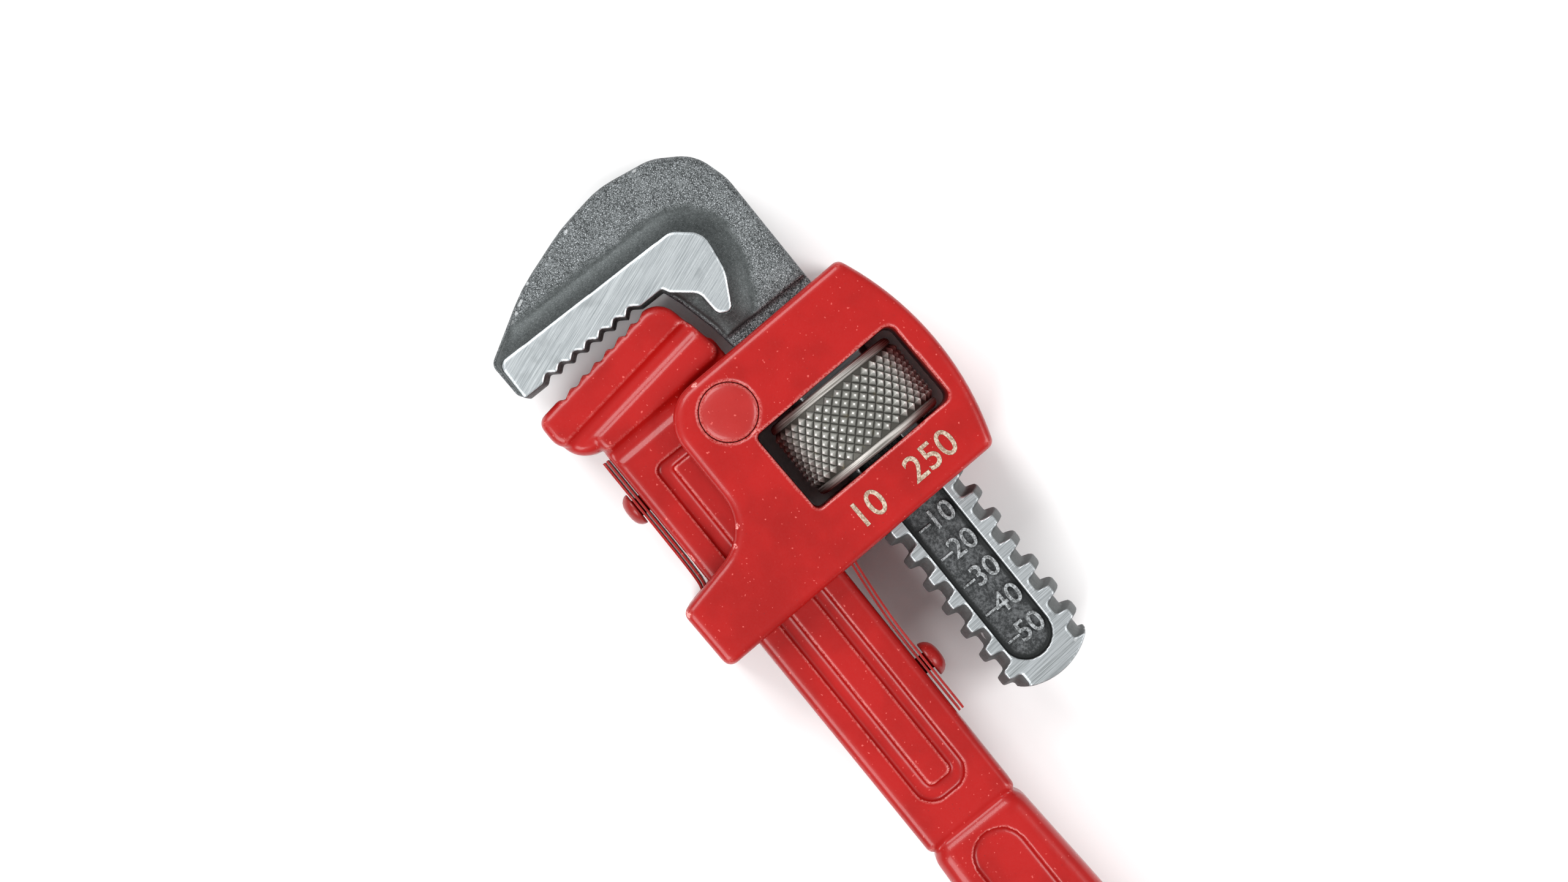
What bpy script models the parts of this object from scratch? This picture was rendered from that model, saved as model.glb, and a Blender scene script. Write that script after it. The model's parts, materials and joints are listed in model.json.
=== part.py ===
"""A 10 inch Stillson-pattern pipe wrench, lying on its side.

The numbers are millimetres in the tool's own plane, and MM turns them into metres as each mesh is
made. In that plane the origin is the pivot rivet's axis at mid-thickness, +X runs up the handle
towards the jaws, +Y runs across towards the open side of the mouth, and +Z comes out of the face.
At rest the handle and the hook jaw's shank are parallel, and the housing leans between them on the
pivot, so its own sizes are in a plane turned by HOUSING_LEAN. The pivot's empty stands so that the
whole tool's box has its bottom centre at the world origin.
"""

import math

import bmesh
import bpy
from mathutils import Matrix, Vector

MM = 0.001

# Fits
GAP = 0.3            # between still pieces that bear on each other
RUN = 0.4            # between pieces that slide or turn on each other

# The shank's thread, five turns to the inch, and the nut on it
PITCH = 5.08
THREAD_RADIUS = 9.0
THREAD_DEPTH = 1.8
CREST_WIDTH = 1.7
FLANK_SLOPE = 0.3    # axial run of a flank for each millimetre of depth
SHANK_THICKNESS = 10.0
SHANK_INSET = 0.45   # the plain shank's edges behind the thread's crests
NUT_RADIUS = 13.1
NUT_LENGTH = 14.6
NUT_RIM_LENGTH = 1.5
NUT_RIM_DROP = 0.45

# The handle
HANDLE_THICKNESS = 12.4
HANDLE_WIDTH = 19.2
HANDLE_CENTRE_Y = 11.1
HANDLE_TAPER = 0.4   # taken off each side by the shoulder
EYE_RADIUS = 5.9
SHOULDER_X = -78.6
GRIP_LENGTH = 84.3
GRIP_THICKNESS = 13.4
GRIP_SWELL = 1.2     # on each side
HANG_HOLE_RADIUS = 4.2
HEEL_THICKNESS = 16.0
HEEL_ROOT_X = 22.9   # the heel's tooth line at its end by the shank
HEEL_ROOT_Y = -2.6
HEEL_SLOPE = 0.139   # fall of that line for each millimetre towards the open side
MOUTH_DEPTH = 26.2   # from the pivot out to the tips of the jaws

# The housing
HOUSING_LEAN = math.radians(1.5)
PLATE_THICKNESS = 5.8
HOUSING_TOP_X = 7.7
HOUSING_LENGTH = 40.5
HOUSING_FRONT_WALL = 2.6
ROCK_ROOM = 4.4      # between the handle and the housing's front wall
BACK_WALL = 4.9      # behind the shank's passage, at the housing's head and foot
BACK_BULGE = 4.0
WEB_FACE_Y = -2.3
WINDOW_TOP_X = -6.0
WINDOW_PLAY = 0.8    # above and below the nut
WINDOW_FRONT_Y = -0.7

# The pivot rivet and the spring rivets
PIVOT_RADIUS = 4.0
PIVOT_HEAD_RADIUS = 5.0
PIVOT_HEAD_DEPTH = 2.2
PIVOT_DOME = 0.35
SPRING_RIVET_RADIUS = 1.6
SPRING_RIVET_DEPTH = 8.0
FRONT_RIVET_X = -2.8
REAR_RIVET_X = -53.9
FRONT_RIVET_HEAD = (3.0, 1.9)    # radius, height
REAR_RIVET_HEAD = (3.3, 2.3)

# The leaf springs, two leaves each
LEAF_THICKNESS = 0.4
LEAF_WIDTH = 8.4

# The hook jaw
JAW_THICKNESS = 12.0
GROUND_THICKNESS = 16.4
JAW_TOP_X = 43.1
JAW_TOOTH_X = 23.3
SHANK_END_X = -69.3
SHANK_END_RADIUS = 12.0
THREAD_START_X = -3.6
CHANNEL_WIDTH = 8.9
CHANNEL_DEPTH = 1.4
TOOTH_PITCH = 2.95
TOOTH_DEPTH = 1.1
HOOK_TOOTH_COUNT = 7

# Worked out from the sizes above
AXIS_Y = -(EYE_RADIUS + 1.2 + THREAD_RADIUS)     # the shank's and the nut's axis
SHANK_FRONT_Y = AXIS_Y + THREAD_RADIUS - SHANK_INSET
SHANK_BACK_Y = AXIS_Y - THREAD_RADIUS + SHANK_INSET
HANDLE_INNER_Y = HANDLE_CENTRE_Y - HANDLE_WIDTH / 2
HANDLE_OUTER_Y = HANDLE_CENTRE_Y + HANDLE_WIDTH / 2
HANDLE_END_X = SHOULDER_X - GRIP_LENGTH
HOUSING_BOTTOM_X = HOUSING_TOP_X - HOUSING_LENGTH
FRONT_WALL_Y = HANDLE_OUTER_Y + ROCK_ROOM
HOUSING_FRONT_Y = FRONT_WALL_Y + HOUSING_FRONT_WALL
PASSAGE_RADIUS = THREAD_RADIUS + RUN
HOUSING_BACK_Y = AXIS_Y - PASSAGE_RADIUS - BACK_WALL
HOUSING_HALF = HANDLE_THICKNESS / 2 + GAP + PLATE_THICKNESS
WINDOW_LENGTH = NUT_LENGTH + 2 * WINDOW_PLAY
WINDOW_MIDDLE_X = WINDOW_TOP_X - WINDOW_LENGTH / 2
WINDOW_BACK_Y = AXIS_Y - NUT_RADIUS - 1.0
NUT_X = WINDOW_MIDDLE_X / math.cos(HOUSING_LEAN) - AXIS_Y * math.tan(HOUSING_LEAN)

ARC_STEP = math.radians(15)
NUT_STEPS = 64
THREAD_STEPS = 40
PIN_STEPS = 32


def clear_scene():
    for old in list(bpy.data.objects):
        bpy.data.objects.remove(old)


def new_collection(name):
    collection = bpy.data.collections.new(name)
    bpy.context.scene.collection.children.link(collection)
    return collection


def material(name, colour, roughness, metallic):
    made = bpy.data.materials.new(name)
    made.use_nodes = True
    shader = made.node_tree.nodes["Principled BSDF"]
    shader.inputs["Base Color"].default_value = (*colour, 1)
    shader.inputs["Roughness"].default_value = roughness
    shader.inputs["Metallic"].default_value = metallic
    return made


def empty(name, parent=None, place=(0, 0, 0)):
    """A joint's or the tool's own origin, at a place in its parent's millimetres."""
    made = bpy.data.objects.new(name, None)
    tool.objects.link(made)
    made.parent = parent
    made.location = Vector(place) * MM
    return made


def rounded(corners):
    """The points of an outline of (x, y, radius) corners, each rounded by an arc that has room."""
    points = []
    for i, (x, y, radius) in enumerate(corners):
        here = Vector((x, y))
        back = Vector(corners[i - 1][:2]) - here
        ahead = Vector(corners[(i + 1) % len(corners)][:2]) - here
        half = back.angle(ahead) / 2
        turn = math.pi - 2 * half
        radius = min(radius, 0.49 * min(back.length, ahead.length) * math.tan(half))
        back.normalize()
        ahead.normalize()
        if radius <= 0 or turn < 0.02:
            points.append(here)
            continue
        centre = here + (back + ahead).normalized() * radius / math.sin(half)
        start = here + back * radius / math.tan(half) - centre
        side = 1 if back.x * ahead.y - back.y * ahead.x < 0 else -1
        steps = max(2, math.ceil(turn / ARC_STEP))
        for step in range(steps + 1):
            angle = side * turn * step / steps
            points.append(centre + Matrix.Rotation(angle, 2) @ start)
    return points


def arc(centre_x, centre_y, radius, start, end, steps):
    """Corners along an arc, from one angle in degrees to another."""
    angles = [math.radians(start + (end - start) * i / steps) for i in range(steps + 1)]
    return [(centre_x + radius * math.cos(a), centre_y + radius * math.sin(a), 0) for a in angles]


def as_mesh(made, parent):
    """The evaluated object as a plain welded mesh, with its modifiers and curve gone."""
    bpy.context.view_layer.update()
    evaluated = made.evaluated_get(bpy.context.evaluated_depsgraph_get())
    mesh = bpy.data.meshes.new_from_object(evaluated)
    welded = bmesh.new()
    welded.from_mesh(mesh)
    bmesh.ops.remove_doubles(welded, verts=welded.verts, dist=0.002 * MM)
    bmesh.ops.recalc_face_normals(welded, faces=welded.faces)
    welded.to_mesh(mesh)
    welded.free()
    place, name = made.matrix_world.copy(), made.name
    bpy.data.objects.remove(made)
    result = bpy.data.objects.new(name, mesh)
    tool.objects.link(result)
    result.parent = parent
    result.matrix_basis = place
    return result


def slab(name, parent, outlines, bottom, top, rim=0.0, rim_steps=2):
    """Closed outlines filled between two heights. A second outline inside the first is a hole."""
    curve = bpy.data.curves.new(name, "CURVE")
    curve.dimensions = "2D"
    curve.fill_mode = "BOTH"
    curve.extrude = ((top - bottom) / 2 - rim) * MM
    if rim:
        curve.bevel_depth = rim * MM
        curve.offset = -rim * MM
        curve.bevel_resolution = rim_steps - 1
    for corners in outlines:
        points = rounded(corners)
        spline = curve.splines.new("POLY")
        spline.points.add(len(points) - 1)
        for place, point in zip(spline.points, points):
            place.co = (point.x * MM, point.y * MM, 0, 1)
        spline.use_cyclic_u = True
    made = bpy.data.objects.new(name, curve)
    made.location.z = (bottom + top) / 2 * MM
    tool.objects.link(made)
    return as_mesh(made, parent)


def stand_on_origin():
    """Moves the whole tool so that its box has its bottom centre at the world origin."""
    bpy.context.view_layer.update()
    graph = bpy.context.evaluated_depsgraph_get()
    corners = []
    for piece in tool.objects:
        if piece.type == "MESH":
            evaluated = piece.evaluated_get(graph)
            corners += [evaluated.matrix_world @ vertex.co for vertex in evaluated.data.vertices]
    low = Vector(min(corner[axis] for corner in corners) for axis in range(3))
    high = Vector(max(corner[axis] for corner in corners) for axis in range(3))
    pivot.location -= Vector(((low.x + high.x) / 2, (low.y + high.y) / 2, low.z))


def cylinder(name, parent, radius, centre, length, axis="Z", steps=PIN_STEPS):
    """A round bar about an axis of the tool, by its middle and its whole length."""
    made_mesh = bpy.data.meshes.new(name)
    shape = bmesh.new()
    turn = {"Z": Matrix(), "Y": Matrix.Rotation(math.pi / 2, 4, "X"),
            "X": Matrix.Rotation(math.pi / 2, 4, "Y")}[axis]
    bmesh.ops.create_cone(
        shape, cap_ends=True, segments=steps, radius1=radius * MM, radius2=radius * MM,
        depth=length * MM, matrix=Matrix.Translation(Vector(centre) * MM) @ turn)
    shape.to_mesh(made_mesh)
    shape.free()
    made = bpy.data.objects.new(name, made_mesh)
    tool.objects.link(made)
    made.parent = parent
    return made


def turned(name, parent, profile, axis, place, steps):
    """A profile of (radius, height) points, outer side downwards, turned about an axis."""
    mesh = bpy.data.meshes.new(name)
    mesh.from_pydata([(r * MM, 0, h * MM) for r, h in profile],
                     [(i, i + 1) for i in range(len(profile) - 1)], [])
    made = bpy.data.objects.new(name, mesh)
    tool.objects.link(made)
    screw = made.modifiers.new("turn", "SCREW")
    screw.steps = screw.render_steps = steps
    screw.use_merge_vertices = True
    screw.merge_threshold = 0.005 * MM
    made.rotation_euler = axis
    made.location = Vector(place) * MM
    return as_mesh(made, parent)


def threaded_bar(name, parent, crest, root, crest_width, start, turns):
    """A right-hand threaded bar along +X about the shank's axis, cut square at each end."""
    run = (crest - root) * FLANK_SLOPE
    half = crest_width / 2
    profile = [(root, PITCH - half - run), (crest, PITCH - half), (crest, PITCH + half),
               (root, PITCH + half + run), (root, 2 * PITCH - half - run)]
    mesh = bpy.data.meshes.new(name)
    mesh.from_pydata([(r * MM, 0, h * MM) for r, h in profile],
                     [(i, i + 1) for i in range(len(profile) - 1)], [])
    made = bpy.data.objects.new(name, mesh)
    tool.objects.link(made)
    screw = made.modifiers.new("thread", "SCREW")
    screw.steps = screw.render_steps = THREAD_STEPS
    screw.iterations = turns
    screw.screw_offset = PITCH * MM
    made = as_mesh(made, parent)
    shape = bmesh.new()
    shape.from_mesh(made.data)
    for height, side in ((2.5 * PITCH, -1), ((turns + 0.5) * PITCH, 1)):
        everything = shape.verts[:] + shape.edges[:] + shape.faces[:]
        bmesh.ops.bisect_plane(shape, geom=everything, dist=1e-7, clear_outer=True,
                               plane_co=(0, 0, height * MM), plane_no=(0, 0, side))
    bmesh.ops.holes_fill(shape, edges=[edge for edge in shape.edges if edge.is_boundary])
    bmesh.ops.recalc_face_normals(shape, faces=shape.faces)
    # The bar's own Z becomes the tool's X, and its X stays in the plane of the tool.
    lay_down = Matrix(((0, 0, 1, 0), (1, 0, 0, 0), (0, 1, 0, 0), (0, 0, 0, 1)))
    shape.transform(Matrix.Translation(Vector((start, AXIS_Y, 0)) * MM) @ lay_down)
    shape.to_mesh(made.data)
    shape.free()
    return made


def boolean(target, tool_piece, operation):
    """Cuts, joins or intersects with a piece, which is then kept only as a hidden cutter."""
    modifier = target.modifiers.new(tool_piece.name, "BOOLEAN")
    modifier.operation = operation
    modifier.object = tool_piece
    tool.objects.unlink(tool_piece)
    cutters.objects.link(tool_piece)
    tool_piece.hide_render = True
    tool_piece.display_type = "WIRE"


def cut(target, *pieces):
    for piece in pieces:
        boolean(target, piece, "DIFFERENCE")


def join(target, *pieces):
    for piece in pieces:
        boolean(target, piece, "UNION")


def finish(piece, finish_material):
    """Gives a piece its material and round shading."""
    piece.data.materials.clear()
    piece.data.materials.append(finish_material)
    piece.data.shade_smooth()
    piece.data.set_sharp_from_angle(angle=math.radians(30))
    return piece


def both_faces(name, parent, outlines, floor, top):
    """The same slab on the tool's two faces, between two heights from mid-thickness."""
    return [slab(f"{name}_front", parent, outlines, floor, top),
            slab(f"{name}_back", parent, outlines, -top, -floor)]


def tooth_line(start, along, pitch, depth, count, steep, back):
    """A saw outline: count notches from start, along a direction, cut to one side of it."""
    along = Vector(along).normalized()
    into = Vector(back).normalized()
    corners = []
    for i in range(count):
        tip = Vector(start) + along * pitch * i
        bottom = tip + along * pitch * steep + into * depth
        corners += [(*tip, 0), (*bottom, 0)]
    last = Vector(start) + along * pitch * count
    corners += [(*last, 0), (*(last - into * 4), 0), (*(Vector(start) - into * 4), 0)]
    return corners


def heel_x(y):
    """The heel jaw's tooth line, which falls away from the shank."""
    return HEEL_ROOT_X - (y - HEEL_ROOT_Y) * HEEL_SLOPE


def make_handle():
    half = HANDLE_THICKNESS / 2
    throat = -EYE_RADIUS
    head = slab("handle", pivot, [[
        (heel_x(MOUTH_DEPTH), MOUTH_DEPTH, 1.8), (HEEL_ROOT_X, HEEL_ROOT_Y, 2.4),
        (19.4, -3.9, 6.0), (13.6, throat + 0.1, 1.8),
        (11.7, MOUTH_DEPTH, 3.4)]], -HEEL_THICKNESS / 2, HEEL_THICKNESS / 2, 1.6)
    lip = slab("heel_lip", pivot, [[
        (17, MOUTH_DEPTH - 0.2, 1.8), (17, 10, 1.8), (8.5, 10, 1.8), (8.5, MOUTH_DEPTH - 0.2, 4.6)]],
        -6.8, 6.8, 1.7)
    neck = slab("heel_neck", pivot, [[
        (18, HANDLE_OUTER_Y + 0.3, 1.6), (17, throat + 1.8, 1.6),
        (10.9, throat + 0.2, 1.6), (8.3, HANDLE_OUTER_Y + 0.1, 1.6)]],
        -half - 0.9, half + 0.9, 0.9)
    body = slab("handle_body", pivot, [[
        (13, HANDLE_OUTER_Y, 1.8), (13, throat + 0.3, 1.8),
        (3, throat + 0.05, 0), *arc(0, 0, EYE_RADIUS, 275, 180, 8),
        (-EYE_RADIUS, HANDLE_INNER_Y, 1.0),
        (SHOULDER_X - 3, HANDLE_INNER_Y + HANDLE_TAPER, 1.8),
        (SHOULDER_X - 3, HANDLE_OUTER_Y - HANDLE_TAPER, 1.8)]],
        -half, half, 1.7)
    join(head, lip, neck, body, grip_blank())
    cut(head, *panel_grooves(half), *grip_pockets())
    cut(head, cylinder("pivot_bore", pivot, PIVOT_RADIUS + GAP, (0, 0, 0), 30))
    grip_end = HANDLE_END_X + 10.2
    cut(head, cylinder("hang_hole", pivot, HANG_HOLE_RADIUS, (grip_end, HANDLE_CENTRE_Y, 0), 30))
    for name, x, y, inward in (("front", FRONT_RIVET_X, HANDLE_OUTER_Y, -1),
                               ("rear", REAR_RIVET_X, HANDLE_INNER_Y, 1)):
        depth = SPRING_RIVET_DEPTH + 3 * GAP
        cut(head, cylinder(f"{name}_rivet_bore", pivot, SPRING_RIVET_RADIUS + GAP,
                           (x, y + inward * (depth / 2 - 1), 0), depth + 2, "Y", 20))
    along = Vector((-HEEL_SLOPE, 1))
    start_y = 0.6
    cut(head, slab("heel_teeth", pivot, [tooth_line(
        (heel_x(start_y) + 0.02, start_y), along, TOOTH_PITCH, TOOTH_DEPTH, HOOK_TOOTH_COUNT,
        0.62, (-1, 0))], -10, 10))
    return finish(head, red_paint)


def grip_blank():
    start_half = HANDLE_WIDTH / 2 - HANDLE_TAPER
    end_half = start_half + GRIP_SWELL
    centre = HANDLE_CENTRE_Y
    return slab("grip", pivot, [[
        (SHOULDER_X, centre + start_half, 2.9), (SHOULDER_X, centre - start_half, 2.9),
        (SHOULDER_X - 24, centre - end_half, 60),
        (HANDLE_END_X, centre - end_half + 0.6, end_half - 0.8),
        (HANDLE_END_X, centre + end_half - 0.6, end_half - 0.8),
        (SHOULDER_X - 24, centre + end_half, 60)]],
        -GRIP_THICKNESS / 2, GRIP_THICKNESS / 2, 2.8)


def panel_grooves(half):
    """The long ring groove on each face, round a raised central panel."""
    low, high = HANDLE_INNER_Y + 4.7, HANDLE_OUTER_Y - 4.8
    top, end = 0.6, SHOULDER_X + 5.3
    ring = [[(top, high, 1.6), (top, low, 1.6), (end, low, 3.6), (end, high, 3.6)],
            [(top - 1.9, high - 2.6, 0.5), (top - 1.9, low + 2.3, 0.5),
             (end + 2.8, low + 2.3, 1.1), (end + 2.8, high - 2.6, 1.1)]]
    return both_faces("panel_groove", pivot, ring, half - 1.1, half + 2)


def grip_pockets():
    """The long round-ended pocket on each face of the grip."""
    centre = HANDLE_CENTRE_Y
    top, end = SHOULDER_X - 3.6, HANDLE_END_X + 21
    pocket = [[(top, centre + 4.7, 4.6), (top, centre - 4.7, 4.6),
               (end, centre - 4.7, 4.6), (end, centre + 4.7, 4.6)]]
    return both_faces("grip_pocket", pivot, pocket, GRIP_THICKNESS / 2 - 1.2, GRIP_THICKNESS)


def housing_outline():
    """The housing seen from its face: a straight top and foot, a waist and a bulging back."""
    top, foot = HOUSING_TOP_X, HOUSING_BOTTOM_X
    middle, reach = (top + foot) / 2, HOUSING_LENGTH / 2
    radius = (reach ** 2 + BACK_BULGE ** 2) / (2 * BACK_BULGE)
    span = math.degrees(math.asin(reach / radius))
    bulge = arc(middle, HOUSING_BACK_Y - BACK_BULGE + radius, radius, 270 - span, 270 + span, 8)
    bulge[0] = (*bulge[0][:2], 2.0)
    bulge[-1] = (*bulge[-1][:2], 2.4)
    waist = 10.1
    return [*bulge, (top, waist - 0.6, 7.4), (-17.3, waist, 9.0),
            (foot + 12.2, HOUSING_FRONT_Y, 1.7), (foot, HOUSING_FRONT_Y, 1.7)]


def make_housing():
    housing = slab("housing", housing_pivot, [housing_outline()], -HOUSING_HALF, HOUSING_HALF, 1.4)
    inside = HANDLE_THICKNESS / 2 + GAP
    far = 40
    # The handle's passage is open at the head, the foot and the mouth side above the front wall,
    # and above the window it runs into the shank's.
    shank_side = AXIS_Y + PASSAGE_RADIUS - 0.5
    handle_room = slab("handle_room", housing_pivot, [[
        (far, far, 0), (far, shank_side, 0), (WINDOW_TOP_X, shank_side, 0),
        (WINDOW_TOP_X - 2, WEB_FACE_Y, 1.5), (-far, WEB_FACE_Y, 0), (-far, FRONT_WALL_Y, 0),
        (HOUSING_BOTTOM_X + 13.5, FRONT_WALL_Y, 0), (HOUSING_BOTTOM_X + 13.5, far, 0)]],
        -inside, inside)
    shank_half = SHANK_THICKNESS / 2 + RUN
    shank_room = slab("shank_room", shank_line, [[
        (far, AXIS_Y + PASSAGE_RADIUS, 0), (far, AXIS_Y - PASSAGE_RADIUS, 0),
        (-far, AXIS_Y - PASSAGE_RADIUS, 0), (-far, AXIS_Y + PASSAGE_RADIUS, 0)]],
        -shank_half, shank_half)
    foot = WINDOW_TOP_X - WINDOW_LENGTH
    window = slab("window", housing_pivot, [[
        (WINDOW_TOP_X, WINDOW_FRONT_Y, 1.0), (WINDOW_TOP_X, WINDOW_BACK_Y, 1.6),
        (foot, WINDOW_BACK_Y, 1.6), (foot, WINDOW_FRONT_Y, 1.0)]], -20, 20)
    bore = cylinder("housing_bore", housing_pivot, PIVOT_RADIUS + GAP, (0, 0, 0), 40)
    seats = [cylinder(f"head_seat_{i}", housing_pivot, PIVOT_HEAD_RADIUS + GAP,
                      (0, 0, side * HOUSING_HALF), 2 * (PIVOT_HEAD_DEPTH + GAP))
             for i, side in enumerate((1, -1))]
    cut(housing, handle_room, shank_room, window, bore, *seats)
    return finish(housing, red_paint)


def make_pivot_rivet():
    face, head = HOUSING_HALF, HOUSING_HALF - PIVOT_HEAD_DEPTH
    upper = [(0, face + PIVOT_DOME), (2.4, face + PIVOT_DOME * 0.8),
             (PIVOT_HEAD_RADIUS - 0.5, face + 0.1), (PIVOT_HEAD_RADIUS, face - 0.3),
             (PIVOT_HEAD_RADIUS, head), (PIVOT_RADIUS, head)]
    profile = upper + [(r, -h) for r, h in reversed(upper)]
    rivet = turned("pivot_rivet", housing_pivot, profile, (0, 0, 0), (0, 0, 0), PIN_STEPS)
    return finish(rivet, red_paint)


def leaf_lines():
    """The inner face of each spring's first leaf, as (x, y) points, and which way is outward."""
    front_y, rear_y = HANDLE_OUTER_Y + GAP, HANDLE_INNER_Y - GAP + 0.2
    front_tip = FRONT_WALL_Y - 30 * math.sin(HOUSING_LEAN) - 2 * (LEAF_THICKNESS + GAP)
    front = [(6.6, front_y), (-16, front_y), (-21, front_y + 0.6),
             (-26, front_tip - 0.4), (-31, front_tip)]
    rear_tip = WEB_FACE_Y + 2 * (LEAF_THICKNESS + GAP) + 0.2
    rear = [(-63.6, rear_y), (-48.0, rear_y), (-42.0, rear_y - 0.3),
            (-33.5, rear_tip + 0.9), (-24, rear_tip - 0.5)]
    return {"front": (front, 1), "rear": (rear, -1)}


def make_leaf(name, line, outward, offset, rivet_x):
    """One spring leaf: a strip along a line, lifted off it by an offset, with its rivet hole."""
    near = [(x, y + outward * offset, 0) for x, y in line]
    away = [(x, y + outward * (offset + LEAF_THICKNESS), 0) for x, y in reversed(line)]
    leaf = slab(name, pivot, [near + away], -LEAF_WIDTH / 2, LEAF_WIDTH / 2)
    cut(leaf, cylinder(f"{name}_hole", pivot, SPRING_RIVET_RADIUS + GAP,
                       (rivet_x, line[0][1], 0), 12, "Y", 20))
    return finish(leaf, red_spring)


def make_springs():
    for end, (line, outward) in leaf_lines().items():
        rivet_x = FRONT_RIVET_X if end == "front" else REAR_RIVET_X
        step = LEAF_THICKNESS + GAP
        make_leaf(f"{end}_spring_inner_leaf", line, outward, 0, rivet_x)
        make_leaf(f"{end}_spring_outer_leaf", line, outward, step, rivet_x)
        radius, height = FRONT_RIVET_HEAD if end == "front" else REAR_RIVET_HEAD
        under = line[0][1] + outward * (step + LEAF_THICKNESS + GAP)
        deep = SPRING_RIVET_DEPTH + 2 * GAP + step + LEAF_THICKNESS
        profile = [(0, height), (radius * 0.55, height * 0.95), (radius * 0.85, height * 0.68),
                   (radius, height * 0.3), (radius, 0), (SPRING_RIVET_RADIUS, 0),
                   (SPRING_RIVET_RADIUS, -deep), (0, -deep)]
        turn = (-outward * math.pi / 2, 0, 0)
        rivet = turned(f"{end}_spring_rivet", pivot, profile, turn, (rivet_x, under, 0), 24)
        finish(rivet, red_paint)


def make_nut():
    """A knurled ring with a plain rim at each end, threaded to run on the shank."""
    half, rim = NUT_LENGTH / 2, NUT_RADIUS - NUT_RIM_DROP
    bore = THREAD_RADIUS - THREAD_DEPTH - 1
    upper = [(bore, half), (rim - 0.5, half), (rim, half - 0.5), (rim, half - NUT_RIM_LENGTH),
             (NUT_RADIUS, half - NUT_RIM_LENGTH - 0.3)]
    profile = upper + [(r, -h) for r, h in reversed(upper)]
    nut = turned("adjusting_nut", nut_axis, profile + [profile[0]], (0, math.pi / 2, 0),
                 (0, 0, 0), NUT_STEPS)
    thread = threaded_bar("nut_thread", shank_line, THREAD_RADIUS + GAP,
                          THREAD_RADIUS - THREAD_DEPTH + GAP, CREST_WIDTH + 2 * GAP,
                          NUT_X - 6 * PITCH, 9)
    cut(nut, thread)
    return finish(nut, nut_steel)


def jaw_outline():
    """The hook jaw's forged body, from the tip over the top and down the back of the shank."""
    top, tooth = JAW_TOP_X, JAW_TOOTH_X
    return [
        (tooth + 0.3, MOUTH_DEPTH - 0.2, 1.6), (top - 11.7, MOUTH_DEPTH, 1.8),
        (top - 4.8, 14.2, 30), (top - 1.1, 2.8, 30), (top + 0.3, -6.5, 16), (top - 1.4, -16.5, 9),
        (top - 5.5, -22.8, 8), (top - 12, SHANK_BACK_Y, 10), (THREAD_START_X - 2, SHANK_BACK_Y, 1.6),
        (THREAD_START_X - 2, SHANK_FRONT_Y, 1.6), (8, SHANK_FRONT_Y, 6), (13, -6.9, 6),
        (tooth - 3.7, -5.3, 5), (tooth + 0.3, -3.9, 1.2)]


def ground_outline():
    """The flat ground face beside the teeth, which ends in a rounded heel down the shank."""
    tooth = JAW_TOOTH_X
    return [
        (tooth, MOUTH_DEPTH - 0.9, 0.3), (tooth + 7.4, MOUTH_DEPTH - 1.1, 1.6),
        (tooth + 6.7, -11.4, 3.2), (tooth + 3.0, -15.7, 4.0), (tooth - 4.5, -14.6, 8),
        (tooth - 10.6, -11.2, 1.4), (tooth - 9.2, -8.9, 1.4), (tooth - 4.6, -8.6, 1.5),
        (tooth - 1.4, -4.8, 0.9), (tooth - 0.1, -4.2, 0.3)]


def make_hook_jaw():
    jaw = slab("hook_jaw", jaw_origin, [jaw_outline()], -JAW_THICKNESS / 2, JAW_THICKNESS / 2, 1.5)
    shank_half = SHANK_THICKNESS / 2
    thin = both_faces("shank_relief", jaw_origin, [[
        (HOUSING_TOP_X + 2.4, 0, 0), (HOUSING_TOP_X + 2.4, -40, 0), (-20, -40, 0), (-20, 0, 0)]],
        shank_half, JAW_THICKNESS)
    ground = slab("ground_face", jaw_origin, [ground_outline()],
                  -GROUND_THICKNESS / 2, GROUND_THICKNESS / 2, 0.3, 1)
    turns = math.ceil((THREAD_START_X - SHANK_END_X) / PITCH) + 5
    below = math.ceil((NUT_X - SHANK_END_X) / PITCH) + 4
    rack = threaded_bar("rack", jaw_origin, THREAD_RADIUS, THREAD_RADIUS - THREAD_DEPTH,
                        CREST_WIDTH, NUT_X - below * PITCH, turns)
    blank = slab("rack_blank", jaw_origin, [[
        (THREAD_START_X, AXIS_Y + THREAD_RADIUS + 2, 0),
        (THREAD_START_X, AXIS_Y - THREAD_RADIUS - 2, 0),
        *arc(SHANK_END_X + SHANK_END_RADIUS, AXIS_Y, SHANK_END_RADIUS, 240, 120, 12)]],
        -shank_half, shank_half)
    boolean(rack, blank, "INTERSECT")
    rack = as_mesh(rack, jaw_origin)
    rack.matrix_basis = Matrix()
    cut(jaw, *thin)
    join(jaw, rack, ground)
    middle, end = AXIS_Y + 0.5, SHANK_END_X + 4.5
    channel = [[(-8, middle + CHANNEL_WIDTH / 2, 4.3), (-8, middle - CHANNEL_WIDTH / 2, 4.3),
                (end, middle - CHANNEL_WIDTH / 2, 4.3), (end, middle + CHANNEL_WIDTH / 2, 4.3)]]
    cut(jaw, *both_faces("size_channel", jaw_origin, channel, shank_half - CHANNEL_DEPTH, 9))
    cut(jaw, slab("hook_teeth", jaw_origin, [tooth_line(
        (JAW_TOOTH_X - 0.02, 0.5), (0, 1), TOOTH_PITCH, TOOTH_DEPTH, HOOK_TOOTH_COUNT,
        0.6, (1, 0))], -10, 10))
    return finish(jaw, forged_steel)


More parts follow.
